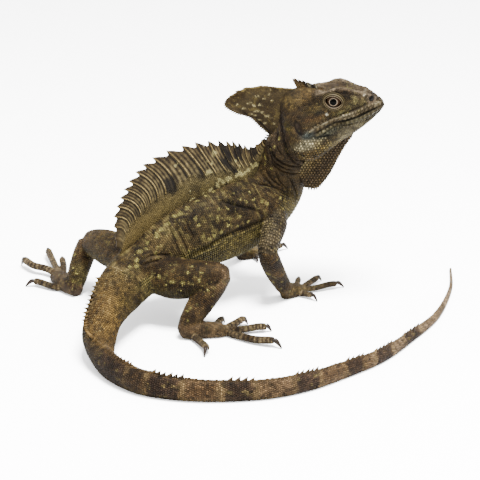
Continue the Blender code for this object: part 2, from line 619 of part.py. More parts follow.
# Toes as (points, claw tip, girth), from the innermost to the outermost
DIGITS = {
    "right_hind_foot": (
        (((-14, -14.5, 1), (-10.4, -8.6, 1.4), (-8.3, -4, 1.6)), (-6.6, -1.6, 0), 1.35),
        (((-8, -13, 0.6), (-2.6, -8.4, 1.2), (1.4, -4.8, 2)), (4, -3.6, 0), 1.4),
        (((-7, -14.4, 0.6), (2, -13.6, 1), (8, -12.4, 1.6), (11.6, -11.8, 1.4)), (14.8, -11.4, 0), 1.45),
        (((-7, -15.2, 0.6), (-1, -19.8, 0.7), (7, -25, 1), (14.6, -27.8, 1.8)), (19.2, -30.4, 0), 1.5),
    ),
    "right_hind_outer_toe": (
        (((-22, -19, 0.6), (-18.4, -25, 0.8), (-15.2, -32.4, 1.4), (-14.6, -35, 1.4)), (-15.4, -39.4, 0),
         1.4),
    ),
    "left_hind_foot": (
        (((-83, 42, 1), (-80, 49, 1), (-78.6, 54, 1.4)), (-78, 57.6, 0), 1.35),
        (((-85, 45.4, 1.1), (-84.9, 57, 1.5), (-86.2, 65.8, 2.3)), (-86.9, 70.8, 0), 1.4),
        (((-86.2, 47.6, 0.9), (-89.3, 60, 1.6), (-92.4, 71, 2.4), (-93.8, 76.6, 2.4)), (-95, 81.6, 0), 1.45),
        (((-86, 48, 0.7), (-92.6, 54.4, 2.2), (-99.4, 57.8, 2.6), (-104, 64, 2.8)), (-106.4, 67.6, 0), 1.5),
    ),
    "left_hind_outer_toe": (
        (((-82, 35, 0.8), (-88, 36, 0.8), (-94, 39.6, 1.4), (-97, 41.4, 1.4)), (-102, 40.6, 0), 1.4),
    ),
    "right_hand": (
        (((24, 30, 0.6), (22.4, 36, 1), (21.6, 39.6, 1.2)), (21.4, 42.6, 0), 1.15),
        (((27, 33, 0.6), (27.6, 39, 1), (28.4, 43.6, 1.4)), (29, 46.6, 0), 1.2),
        (((28.6, 34, 0.6), (33, 40, 1), (37, 45, 1.6)), (39.6, 47.8, 0), 1.25),
        (((29, 33.4, 0.6), (36, 34.6, 1), (42, 37, 1.6), (45.6, 38.4, 1.6)), (50, 39.6, 0), 1.25),
        (((25.6, 30, 0.6), (31, 27.6, 1), (34, 25.4, 1.4)), (36.8, 22.6, 0), 1.15),
    ),
    "left_hand": (
        (((3, 78, 0.6), (1.6, 82.4, 1), (1.2, 85, 1.2)), (1, 87.8, 0), 1.15),
        (((6, 80, 0.6), (7.4, 85, 1), (8.2, 87.4, 1.4)), (9, 90, 0), 1.2),
        (((8, 80.6, 0.6), (12, 85, 1), (14.6, 87.4, 1.6)), (17, 90, 0), 1.25),
        (((9, 80.4, 0.6), (15, 83.2, 1.2), (20.6, 86.4, 1.8)), (24.2, 88.6, 0), 1.25),
        (((5.4, 77.6, 0.6), (8, 74.8, 1), (8.8, 73, 1.2)), (9, 70.4, 0), 1.15),
    ),
}
clear = {}
for name, rows in LEGS.items():
    upper = {"shin": "thigh", "forearm": "upper_arm"}.get(name.split("_", 1)[1])
    above = [clear[f"{name.split('_')[0]}_{upper}"]] if upper else [body_clear]
    _, clear[name] = limb(name, rows, (0.3, 0.2, 1), above, LEG_SKIN)
for name, sole in SOLES.items():
    side, kind = name.split("_")[0], name.split("_")[-1]
    above = clear[f"{side}_shin" if kind == "foot" else f"{side}_forearm"]
    foot(name, sole, DIGITS[name], [above])
    if kind == "foot":
        sole_clear = cutter(f"{side} sole clearance", loft(tube(spline(sole, 2), 10, (0, 0, 1), GAP, 2.6)))
        (points, tip, girth), = DIGITS[f"{side}_hind_outer_toe"]
        toe, claw = digit(points, tip, girth)
        node = put(f"{side}_hind_outer_toe", toe, basilisk, LEG_SKIN)
        fuse(node, [claw])
        for other in (sole_clear, floor):
            boolean(node, other)

# Origin: the middle of what the model stands on
corners = [vert.co for obj in basilisk.objects for vert in obj.data.vertices]
middle = [(min(c[k] for c in corners) + max(c[k] for c in corners)) / 2 for k in (0, 1)]
for obj in (*basilisk.objects, *cutters.objects):
    obj.data.transform(Matrix.Translation((-middle[0], -middle[1], 0.0)))
for obj in basilisk.objects:
    obj.data.shade_smooth()
    obj.data.set_sharp_from_angle(angle=radians(50))
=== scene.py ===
from math import copysign, cos, pi, radians, sin

import bmesh
import bpy
import numpy as np
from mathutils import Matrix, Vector
from mathutils.bvhtree import BVHTree
from mathutils.kdtree import KDTree


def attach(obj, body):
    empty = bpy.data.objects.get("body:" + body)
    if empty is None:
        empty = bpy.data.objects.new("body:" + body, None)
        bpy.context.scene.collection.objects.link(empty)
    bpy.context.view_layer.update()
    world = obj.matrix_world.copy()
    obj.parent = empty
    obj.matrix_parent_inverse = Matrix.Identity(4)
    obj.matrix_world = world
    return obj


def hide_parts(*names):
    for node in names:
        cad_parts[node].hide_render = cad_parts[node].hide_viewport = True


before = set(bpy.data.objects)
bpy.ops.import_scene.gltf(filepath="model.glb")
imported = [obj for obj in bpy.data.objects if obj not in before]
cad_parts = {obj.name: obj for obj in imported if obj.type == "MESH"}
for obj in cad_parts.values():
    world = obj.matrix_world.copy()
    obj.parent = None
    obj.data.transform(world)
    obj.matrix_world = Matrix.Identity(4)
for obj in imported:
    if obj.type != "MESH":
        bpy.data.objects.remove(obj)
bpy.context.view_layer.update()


# Hide of the whole animal
# A lizard's hide is one sheet of thin tough skin over muscle and bone, with no seam from snout to
# tail. Here the head, body, legs and toes are lofted, melted into one surface and smoothed where
# a leg leaves the body, with folds pressed into the neck, shoulder and groin.
MM = 0.001
STAND = np.array((1.525, -2.187, 0.0))  # from the pose's origin to the middle of its footprint
SPINE = (  # centre, half width, height above and below it, and the lean of the ridge of the back
    (27.0, 34.2, 84.0, 7.0, 7.0, 7.0, -1.0, 0.1),
    (24.0, 35.5, 74.0, 9.0, 11.0, 9.0, -1.0, 0.1),
    (21.0, 37.8, 63.5, 9.0, 11.0, 9.5, -1.0, 0.0),
    (18.0, 39.0, 54.0, 10.0, 12.0, 13.0, -0.95, -0.2),
    (11.0, 36.5, 45.5, 12.0, 15.0, 15.5, -0.87, -0.5),
    (-3.0, 29.0, 40.5, 13.0, 17.0, 18.5, -0.87, -0.5),
    (-16.0, 21.5, 38.5, 13.0, 16.0, 18.5, -0.87, -0.5),
    (-31.0, 13.0, 33.5, 12.0, 15.0, 16.0, -0.87, -0.5),
    (-42.0, 6.0, 27.0, 11.0, 13.0, 13.0, -0.87, -0.5),
    (-52.6, -8.5, 20.2, 9.0, 12.2, 10.5, -1.0, -0.3),
    (-60.3, -27.6, 15.8, 7.8, 8.0, 8.8, -1.0, 0.0),
    (-62.3, -40.5, 9.8, 7.0, 7.0, 8.0, -0.8, 0.0),
)
TAIL = (  # where the tail's middle runs on the floor, and half its height there
    (-59.2, -54.0, 6.8), (-50.8, -67.5, 6.0), (-38.0, -77.3, 5.4), (-16.6, -82.4, 4.8),
    (9.0, -80.6, 4.4), (28.0, -73.0, 4.1), (45.0, -60.0, 3.7), (62.5, -43.8, 3.2),
    (76.6, -22.9, 2.6), (91.0, 2.8, 1.9), (100.5, 36.0, 1.1), (103.1, 63.0, 0.6),
)
TAIL_FLATNESS = 0.7
SINK = 0.3  # how far a sole or the tail is pressed flat by the floor
PATH_STEPS = 8
BODY_SIDES = 44


def spline(rows, steps):
    """The rows with steps - 1 more between each two, on a smooth curve through all columns."""
    found = []
    for i in range(len(rows) - 1):
        a, b = rows[i], rows[i + 1]
        before = rows[i - 1] if i else [2 * p - q for p, q in zip(a, b)]
        after = rows[i + 2] if i + 2 < len(rows) else [2 * q - p for p, q in zip(a, b)]
        for k in range(steps):
            t = k / steps
            found.append([
                0.5 * (2 * q + (r - p) * t + (2 * p - 5 * q + 4 * r - s) * t**2
                       + (3 * q - p - 3 * r + s) * t**3)
                for p, q, r, s in zip(before, a, b, after)
            ])
    found.append(list(rows[-1]))
    return found


def curve(line, x):
    """Value at x of the smooth line through (x, value) points."""
    if x <= line[0][0]:
        return line[0][1]
    if x >= line[-1][0]:
        return line[-1][1]
    i = max(k for k in range(len(line) - 1) if line[k][0] <= x)

    def slope(k):
        before, after = line[max(k - 1, 0)], line[min(k + 1, len(line) - 1)]
        return (after[1] - before[1]) / (after[0] - before[0])

    (x0, y0), (x1, y1) = line[i], line[i + 1]
    width = x1 - x0
    t = (x - x0) / width
    level = (2 * t**3 - 3 * t**2 + 1) * y0 + (3 * t**2 - 2 * t**3) * y1
    return level + ((t**3 - 2 * t**2 + t) * slope(i) + (t**3 - t**2) * slope(i + 1)) * width


def mix(a, b, t):
    """Value at a share of the way from one to another."""
    return a + (b - a) * t


def frames(rows, hint=None):
    """Centre, forward, side and up at each row. The last two columns or the hint say which way is up."""
    for i, row in enumerate(rows):
        forward = Vector(rows[min(i + 1, len(rows) - 1)][:3]) - Vector(rows[max(i - 1, 0)][:3])
        forward.normalize()
        up = Vector(hint) if hint else Vector((row[6], row[7], 1.0))
        up = (up - forward * up.dot(forward)).normalized()
        yield Vector(row[:3]), forward, forward.cross(up), up


def tube(rows, sides, hint=None, full=2.2, roof=0.0):
    """Rings round rows of centre, half width, height above and below, as an array of points."""
    rings = []
    for row, (centre, _, side, up) in zip(rows, frames(rows, hint)):
        ring = []
        for k in range(sides):
            c, s = cos(2 * pi * k / sides), sin(2 * pi * k / sides)
            x = copysign(abs(c) ** (2 / full), c) * row[3] * (1 - roof * max(s, 0.0))
            ring.append(centre + side * x + up * copysign(abs(s) ** (2 / full), s) * row[4 if s > 0 else 5])
        rings.append(ring)
    return np.array(rings) + STAND


path = list(SPINE)
for i, (x, y, half) in enumerate(TAIL):
    lean = -0.15 * max(0.0, 1 - i / 2)
    path.append((x, y, half - SINK, half * TAIL_FLATNESS, half, half, lean, 0.0))
body_rows = spline(path, PATH_STEPS)
body_frames = list(frames(body_rows))
sleeves = {"body": tube(body_rows, BODY_SIDES, None, 2.25, 0.18)}

# The head is lofted from its own profile lines, as (forward of the jaw joint, value)
JAW_JOINT = Vector((28.2, 34.0, 81.0))
HEAD_TURN = radians(-6)
HEAD_RISE = radians(22)
TOP_UP = ((-9, 5), (-6, 11.5), (-3, 17.2), (1, 19.8), (6, 20), (10, 19), (13, 17.4), (17, 15.2), (20, 13.7),
          (26, 11.8), (31, 9.6), (36, 6.6), (41.2, 1.4))
BROW_UP = ((-9, 4), (-5, 10), (-2, 14.6), (3, 16.8), (8, 17.2), (13, 16.5), (17, 15.8), (20, 15.5),
           (22.5, 15.7), (26, 14.8), (31, 11.2), (36, 7.4), (41.2, 1.3))
BROW_OUT = ((-9, 4), (-4, 5.6), (2, 6.6), (8, 7), (14, 7.9), (21, 8.4), (26, 7.2), (31, 5.4), (36, 4.1),
            (41.2, 0.9))
CHEEK_UP = ((-9, 3), (0, 5), (8, 7), (20, 8.6), (26, 8), (31, 6), (36, 4), (41.2, 0.9))
CHEEK_OUT = ((-9, 5), (-3, 11), (3, 12.2), (10, 10.4), (16, 9), (26, 8), (31, 6.9), (36, 5.3), (41.2, 1.1))
LIP_OUT = ((-9, 5), (-3, 11.4), (3, 12.8), (10, 11.6), (18, 10), (26, 8.7), (33, 6.9), (38, 4.9),
           (41.2, 1.2))
JAW_OUT = ((-9, 4.5), (-3, 11), (3, 11.8), (10, 10), (18, 8.4), (26, 7), (33, 5.4), (38, 3.6), (41.2, 0.8))
CHIN_UP = ((-9, -5), (-4, -10), (1, -12.4), (6, -12.2), (16, -10.2), (26, -8), (32, -6), (38, -3.4),
           (41.2, -1.5))
JOWL = ((-9, 0.0), (-4, 0.8), (2, 1.0), (9, 1.0), (17, 0.2), (41.2, 0.0))  # how full the jaw muscle is
LIP = 1.4
MOUTH_CORNER = 6.0
EYE = (21.0, 5.1, 10.3)
EYE_RADIUS = 3.9
LID_REACH = 4.85
LID_OPENING = (3.2, 2.35)
LID_SLOPE = radians(-32)
NOSTRIL = (37.2, 4.1, 4.7)
EAR = (2.3, 12.6, 4.9)
FORE = Vector((cos(HEAD_RISE) * cos(HEAD_TURN), cos(HEAD_RISE) * sin(HEAD_TURN), sin(HEAD_RISE)))
LEFT = Vector((-sin(HEAD_TURN), cos(HEAD_TURN), 0.0))
CROWN = FORE.cross(LEFT)
HEAD_AXES = np.array((FORE, LEFT, CROWN))
HEAD_AT = np.array(JAW_JOINT) + STAND


def head_points(local):
    """Points given as (forward, left, up) of the jaw joint."""
    return HEAD_AT + np.asarray(local, float) @ HEAD_AXES


def head_local(points):
    """The other way round: (forward, left, up) of the jaw joint for points."""
    return (np.asarray(points) - HEAD_AT) @ HEAD_AXES.T


def head_ring(fore):
    """Cross-section of the head, from the crown down its left side and up its right side."""
    top, chin = curve(TOP_UP, fore), curve(CHIN_UP, fore)
    brow = (curve(BROW_OUT, fore), curve(BROW_UP, fore))
    cheek = (curve(CHEEK_OUT, fore), curve(CHEEK_UP, fore))
    lip, jaw = curve(LIP_OUT, fore), curve(JAW_OUT, fore)
    full = curve(JOWL, fore)
    edge = LIP * min(1.0, max(0.35, (41.8 - fore) / 3))
    groove = 0.7 * min(1.0, max(0.0, (fore - MOUTH_CORNER + 4) / 4))
    half = [
        (brow[0] * 0.5, mix(top, brow[1], 0.45)), brow,
        (mix(brow[0], cheek[0], 0.7), mix(brow[1], cheek[1], 0.45)), cheek,
        (mix(cheek[0], lip, 0.6), mix(edge, cheek[1], 0.5)), (lip, edge), (lip - groove, 0.0),
        (lip - 0.1, -edge), (jaw, chin * mix(0.5, 0.64, full)),
        (jaw * mix(0.6, 0.8, full), chin * mix(0.9, 0.97, full)),
    ]
    return [(0.0, top), *half, (0.0, chin), *((-x, z) for x, z in reversed(half))]


rings = []
for fore in np.linspace(-9, 41.2, 72):
    ring = head_ring(fore)
    closed = [*ring[-2:], *ring, *ring[:3]]
    fine = spline(closed, 4)[8:8 + 4 * len(ring)]
    rings.append([(fore, x, z) for x, z in fine])
sleeves["head"] = head_points(rings)

# Legs and soles as rows of centre, half width, height above and below. Toes as points, tip and girth.
LEGS = {
    "right_thigh": (
        (-40, 3, 23, 8.5, 8.5, 8.5), (-29, -2.5, 22.5, 9.2, 9, 9.2), (-17, -5, 24, 8, 7.8, 7.8),
        (-8.5, -5, 25.5, 5.6, 5.6, 5.6), (-4.2, -4.6, 25.8, 2.4, 2.6, 2.6),
    ),
    "right_shin": (
        (-7, -4.5, 26.4, 4.4, 4.4, 4.4), (-12.3, -8, 20, 5.5, 5.5, 5.5),
        (-18.6, -12.5, 12.5, 5.4, 5.4, 5.4), (-23.4, -17, 5.6, 4.2, 4, 4), (-25, -18.3, 3.4, 2.6, 2.6, 2.6),
    ),
    "left_thigh": (
        (-44, 8, 25, 8.5, 8.5, 8.5), (-53, 19, 25.5, 9, 9, 9), (-62, 30, 25, 8, 8, 8),
        (-69, 40, 23.5, 5.8, 5.8, 5.8), (-72, 44, 22.8, 2.6, 2.8, 2.8),
    ),
    "left_shin": (
        (-71.5, 42.5, 23, 4.6, 4.6, 4.6), (-73.5, 40, 17, 5.2, 5.2, 5.2), (-76, 36, 10.5, 4.8, 4.8, 4.8),
        (-77.8, 33, 4.6, 4.2, 4, 4), (-78.4, 32, 3.2, 2.6, 2.6, 2.6),
    ),
    "right_upper_arm": (
        (14, 35, 42, 6.4, 6.4, 6.4), (17, 27, 38.5, 5.6, 5.6, 5.6), (14.5, 19.5, 33, 4.9, 4.9, 4.9),
        (12.7, 15.6, 29, 4.3, 4.3, 4.3), (12, 14.4, 27.4, 2.2, 2.2, 2.2),
    ),
    "right_forearm": (
        (12.6, 15, 30, 3.8, 3.8, 3.8), (14.5, 17.2, 23, 4.7, 4.7, 4.7), (18.3, 22, 13, 4, 4, 4),
        (21.6, 26, 5.6, 3.4, 3.4, 3.4), (22.4, 27, 3.6, 2.2, 2.2, 2.2),
    ),
    "left_upper_arm": (
        (9, 41, 41, 6.2, 6.2, 6.2), (3, 49, 37, 5.4, 5.4, 5.4), (-3, 56, 31, 4.8, 4.8, 4.8),
        (-6, 60, 27, 4.3, 4.3, 4.3), (-7, 61.4, 25.4, 2.2, 2.2, 2.2),
    ),
    "left_forearm": (
        (-6.4, 60, 28, 3.8, 3.8, 3.8), (-5.2, 63, 21.5, 4.7, 4.7, 4.7), (-2.6, 69, 12.5, 4, 4, 4),
        (-0.4, 74, 5.6, 3.4, 3.4, 3.4), (0.2, 75.2, 3.8, 2.2, 2.2, 2.2),
    ),
}
SOLES = {
    "right_hind_foot": (
        (-27.2, -18.8, 2.6, 2.4, 2, 2.9), (-24, -18, 3.9, 4, 3.8, 4.2), (-16, -16.2, 3.3, 4.5, 3.3, 3.6),
        (-9, -14.6, 2.5, 4.9, 2.5, 2.8), (-5.4, -13.8, 2.1, 3.4, 1.5, 2.4),
    ),
    "left_hind_foot": (
        (-75.8, 28.6, 2.6, 2.6, 2, 2.9), (-78.6, 32.4, 3.9, 4, 3.8, 4.2), (-83, 39, 3.3, 4.6, 3.3, 3.6),
        (-86.2, 47.4, 2.5, 4.8, 2.5, 2.8), (-87.6, 51, 2.1, 3.4, 1.5, 2.4),
    ),
    "right_hand": (
        (20.6, 25.2, 2.4, 2, 1.8, 2.7), (22.6, 27.6, 3.3, 3.4, 3, 3.6), (27, 32, 2.8, 4.2, 2.6, 3.1),
        (30.2, 35.2, 2, 3.4, 1.6, 2.3),
    ),
    "left_hand": (
        (-1, 74, 2.4, 2, 1.8, 2.7), (1.4, 75.8, 3.3, 3.4, 3, 3.6), (6.4, 79, 2.8, 4.2, 2.6, 3.1),
        (10.2, 81.2, 2, 3.4, 1.6, 2.3),
    ),
}
DIGITS = {
    "right_hind_foot": (
        (((-14, -14.5, 1), (-10.4, -8.6, 1.4), (-8.3, -4, 1.6)), (-6.6, -1.6, 0), 1.35),
        (((-8, -13, 0.6), (-2.6, -8.4, 1.2), (1.4, -4.8, 2)), (4, -3.6, 0), 1.4),
        (((-7, -14.4, 0.6), (2, -13.6, 1), (8, -12.4, 1.6), (11.6, -11.8, 1.4)), (14.8, -11.4, 0), 1.45),
        (((-7, -15.2, 0.6), (-1, -19.8, 0.7), (7, -25, 1), (14.6, -27.8, 1.8)), (19.2, -30.4, 0), 1.5),
        (((-22, -19, 0.6), (-18.4, -25, 0.8), (-15.2, -32.4, 1.4), (-14.6, -35, 1.4)), (-15.4, -39.4, 0),
         1.4),
    ),
    "left_hind_foot": (
        (((-83, 42, 1), (-80, 49, 1), (-78.6, 54, 1.4)), (-78, 57.6, 0), 1.35),
        (((-85, 45.4, 1.1), (-84.9, 57, 1.5), (-86.2, 65.8, 2.3)), (-86.9, 70.8, 0), 1.4),
        (((-86.2, 47.6, 0.9), (-89.3, 60, 1.6), (-92.4, 71, 2.4), (-93.8, 76.6, 2.4)), (-95, 81.6, 0),
         1.45),
        (((-86, 48, 0.7), (-92.6, 54.4, 2.2), (-99.4, 57.8, 2.6), (-104, 64, 2.8)), (-106.4, 67.6, 0), 1.5),
        (((-82, 35, 0.8), (-88, 36, 0.8), (-94, 39.6, 1.4), (-97, 41.4, 1.4)), (-102, 40.6, 0), 1.4),
    ),
    "right_hand": (
        (((24, 30, 0.6), (22.4, 36, 1), (21.6, 39.6, 1.2)), (21.4, 42.6, 0), 1.15),
        (((27, 33, 0.6), (27.6, 39, 1), (28.4, 43.6, 1.4)), (29, 46.6, 0), 1.2),
        (((28.6, 34, 0.6), (33, 40, 1), (37, 45, 1.6)), (39.6, 47.8, 0), 1.25),
        (((29, 33.4, 0.6), (36, 34.6, 1), (42, 37, 1.6), (45.6, 38.4, 1.6)), (50, 39.6, 0), 1.25),
        (((25.6, 30, 0.6), (31, 27.6, 1), (34, 25.4, 1.4)), (36.8, 22.6, 0), 1.15),
    ),
    "left_hand": (
        (((3, 78, 0.6), (1.6, 82.4, 1), (1.2, 85, 1.2)), (1, 87.8, 0), 1.15),
        (((6, 80, 0.6), (7.4, 85, 1), (8.2, 87.4, 1.4)), (9, 90, 0), 1.2),
        (((8, 80.6, 0.6), (12, 85, 1), (14.6, 87.4, 1.6)), (17, 90, 0), 1.25),
        (((9, 80.4, 0.6), (15, 83.2, 1.2), (20.6, 86.4, 1.8)), (24.2, 88.6, 0), 1.25),
        (((5.4, 77.6, 0.6), (8, 74.8, 1), (8.8, 73, 1.2)), (9, 70.4, 0), 1.15),
    ),
}
for name, rows in LEGS.items():
    sleeves[name] = tube(spline(rows, 8), 30, (0.3, 0.2, 1))
for name, rows in SOLES.items():
    sleeves[name] = tube(spline(rows, 6), 24, (0, 0, 1), 2.6)
claw_rows = []
for name, digits in DIGITS.items():
    for number, (points, tip, girth) in enumerate(digits):
        rows = []
        for i, (x, y, lift) in enumerate(points):
            r = mix(girth * 1.05, girth * 1.08, i / (len(points) - 1))
            rows.append((x, y, r - SINK + lift, r, r, r))
        x, y, z = rows[-1][:3]
        ahead = Vector((x - rows[-2][0], y - rows[-2][1], 0)).normalized()
        end = Vector((x, y, z)) + ahead * girth * 0.7
        rows.append((*end, *(girth * 0.66,) * 3))
        sleeves[f"{name}_toe_{number + 1}"] = tube(spline(rows, 6), 14, (0, 0, 1))
        claw_rows.append((Vector((x, y, z)) - ahead * 0.3, Vector(tip), girth * 0.5, ahead))

# Everything of flesh is put in one mesh and melted together
HIDE_VOXEL = 0.46
HIDE_TRIANGLES = 190000


def add_object(name, data):
    """A new object in the scene."""
    added = bpy.data.objects.new(name, data)
    bpy.context.scene.collection.objects.link(added)
    return added


def solid_piece(name, points, faces):
    """A new object in the scene from points in millimetres, with its faces turned outwards."""
    mesh = bpy.data.meshes.new(name)
    mesh.from_pydata([tuple(c * MM for c in p) for p in points], [], faces)
    turn = bmesh.new()
    turn.from_mesh(mesh)
    bmesh.ops.recalc_face_normals(turn, faces=turn.faces)
    turn.to_mesh(mesh)
    turn.free()
    return add_object(name, mesh)


def apply_modifiers(piece):
    """Gives a piece the mesh that its modifiers make, and takes them off."""
    before = piece.data
    graph = bpy.context.evaluated_depsgraph_get()
    piece.data = bpy.data.meshes.new_from_object(piece.evaluated_get(graph), depsgraph=graph)
    piece.modifiers.clear()
    bpy.data.meshes.remove(before)


def shell(grid):
    """Points and faces of a closed tube through the rings of a grid."""
    count, sides = grid.shape[:2]
    index = np.arange(count * sides).reshape(count, sides)
    turned = np.roll(index, -1, axis=1)
    quads = np.stack((index[:-1], turned[:-1], turned[1:], index[1:]), -1).reshape(-1, 4)
    return grid.reshape(-1, 3), [*quads.tolist(), index[0][::-1].tolist(), index[-1].tolist()]


points, faces = [], []
for grid in sleeves.values():
    found, corners = shell(grid)
    faces += [[k + len(points) for k in face] for face in corners]
    points += found.tolist()
for way in (1, -1):
    ball = bmesh.new()
    bmesh.ops.create_icosphere(ball, subdivisions=4, radius=LID_REACH)
    centre = head_points((EYE[0], EYE[1] * way, EYE[2]))
    faces += [[v.index + len(points) for v in f.verts] for f in ball.faces]
    points += [(centre + np.array(v.co)).tolist() for v in ball.verts]
    ball.free()
hide = solid_piece("hide", points, faces)
melt = hide.modifiers.new("Melt", "REMESH")
melt.mode = "VOXEL"
melt.voxel_size = HIDE_VOXEL * MM
apply_modifiers(hide)


def read(mesh, what):
    """The places ("co") or normals of a mesh's points as an array."""
    flat = np.empty(len(mesh.vertices) * 3, np.float32)
    mesh.vertices.foreach_get(what, flat)
    return flat.reshape(-1, 3).astype(float)


def write_points(mesh, points):
    """Moves a mesh's points to places in millimetres."""
    mesh.vertices.foreach_set("co", (points * MM).astype(np.float32).ravel())
    mesh.update()


def ease(low, high, value):
    """0 below low, 1 above high, and a smooth step between."""
    t = np.clip((np.asarray(value, float) - low) / (high - low), 0, 1)
    return t * t * (3 - 2 * t)


def fade(low, high, value):
    """1 below low, 0 above high, and a smooth step between."""
    return 1 - ease(low, high, value)


def span(start, end, soft, value):
    """1 between start and end, 0 outside them, over soft edges."""
    return ease(start - soft, start + soft, value) * fade(end - soft, end + soft, value)


def lattice_noise(points, size, seed):
    """Smooth noise from -1 to 1 with hollows and bumps about this many millimetres apart."""
    cell = np.asarray(points) / size
    corner = np.floor(cell).astype(np.int64)
    t = cell - corner
    t = t * t * (3 - 2 * t)
    total = 0.0
    for dx, dy, dz in np.ndindex(2, 2, 2):
        # A corner's value comes from its own place, stirred until neighbours have nothing in common
        x, y, z = (corner + (dx, dy, dz)).T
        key = x * 73856093 ^ y * 19349663 ^ z * 83492791
        key = (key + seed * 2654435761) & 0xFFFFFFFF
        key = ((key ^ (key >> 15)) * 2246822519) & 0xFFFFFFFF
        key = ((key ^ (key >> 13)) * 3266489917) & 0xFFFFFFFF
        value = ((key ^ (key >> 16)) & 0xFFFF) / 32767.5 - 1
        total = total + abs(1 - dx - t[:, 0]) * abs(1 - dy - t[:, 1]) * abs(1 - dz - t[:, 2]) * value
    return total


def on_sleeve(name, row, angle):
    """Points on a sleeve at rows counted along it and angles from its top, towards the right."""
    grid = sleeves[name]
    count, sides = grid.shape[:2]
    i = np.clip(np.asarray(row, float), 0, count - 1.001)
    j = (np.asarray(angle, float) + pi / 2) / (2 * pi) * sides % sides
    i0, j0 = np.floor(i).astype(int), np.floor(j).astype(int) % sides
    j1 = (j0 + 1) % sides
    u, v = (i - i0)[..., None], (j - np.floor(j))[..., None]
    low = grid[i0, j0] * (1 - v) + grid[i0, j1] * v
    high = grid[i0 + 1, j0] * (1 - v) + grid[i0 + 1, j1] * v
    return low * (1 - u) + high * u


# Where each point of the hide lies: its sleeve, row and angle from the nearest point of a sleeve
sleeve_names = list(sleeves)
sample_of = []
finder = KDTree(sum(grid.shape[0] * grid.shape[1] for grid in sleeves.values()))
for number, name in enumerate(sleeve_names):
    grid = sleeves[name]
    for i in range(grid.shape[0]):
        for j in range(grid.shape[1]):
            finder.insert(grid[i, j], len(sample_of))
            sample_of.append((number, i, j))
finder.balance()
sample_of = np.array(sample_of)


def places(points):
    """Sleeve number, row and angle of the nearest place on any sleeve, for each point."""
    found = sample_of[[finder.find(p)[1] for p in points]]
    rows, angles = found[:, 1].astype(float), np.zeros(len(points))
    for number, name in enumerate(sleeve_names):
        mine = found[:, 0] == number
        if not mine.any():
            continue
        grid = sleeves[name]
        count, sides = grid.shape[:2]
        i, j = found[mine, 1], found[mine, 2]
        here = points[mine] - grid[i, j]
        along = (grid[np.minimum(i + 1, count - 1), j] - grid[np.maximum(i - 1, 0), j]) / 2
        across = (grid[i, (j + 1) % sides] - grid[i, j - 1]) / 2
        rows[mine] += np.clip((here * along).sum(1) / ((along**2).sum(1) + 1e-9), -0.6, 0.6)
        turned = j + np.clip((here * across).sum(1) / ((across**2).sum(1) + 1e-9), -0.6, 0.6)
        angles[mine] = (2 * pi * turned / sides - pi / 2 + pi) % (2 * pi) - pi
    return found[:, 0], np.maximum(rows, 0), angles


mesh = hide.data
count = len(mesh.vertices)
edges = np.empty(len(mesh.edges) * 2, np.int32)
mesh.edges.foreach_get("vertices", edges)
edges = edges.reshape(-1, 2)
degree = np.bincount(edges.ravel(), minlength=count)
flesh = read(mesh, "co") / MM


def relax(points, weight, rounds):
    """Draws points towards the middle of their neighbours, by their weight."""
    for _ in range(rounds):
        for k in range(3):
            total = (np.bincount(edges[:, 0], points[edges[:, 1], k], count)
                     + np.bincount(edges[:, 1], points[edges[:, 0], k], count))
            points[:, k] += weight * (total / degree - points[:, k])


JOINS = (  # length of leg, share of its length, reach of the smoothing there
    ("thigh", 0.2, 13), ("upper_arm", 0.2, 10), ("shin", 0.12, 7), ("forearm", 0.1, 6),
    ("shin", 0.9, 6), ("forearm", 0.9, 5), ("hind_foot", 0.85, 6), ("hand", 0.8, 5.5),
)
relax(flesh, np.full(count, 0.5), 3)
soft = np.zeros(count)
for kind, share, reach in JOINS:
    for side in ("right", "left"):
        grid = sleeves[f"{side}_{kind}"]
        middle = grid[int(share * (len(grid) - 1))].mean(0)
        away = np.linalg.norm(flesh - middle, axis=1)
        soft = np.maximum(soft, 1 - ease(0.45, 1.0, away / reach))
local = head_local(flesh)
nape = np.linalg.norm((local - (-7, 0, 2)) / (7, 14, 10), axis=1)
soft = np.maximum(soft, fade(0.6, 1.0, nape) * (local[:, 0] < 0))
relax(flesh, 0.5 * soft, 40)

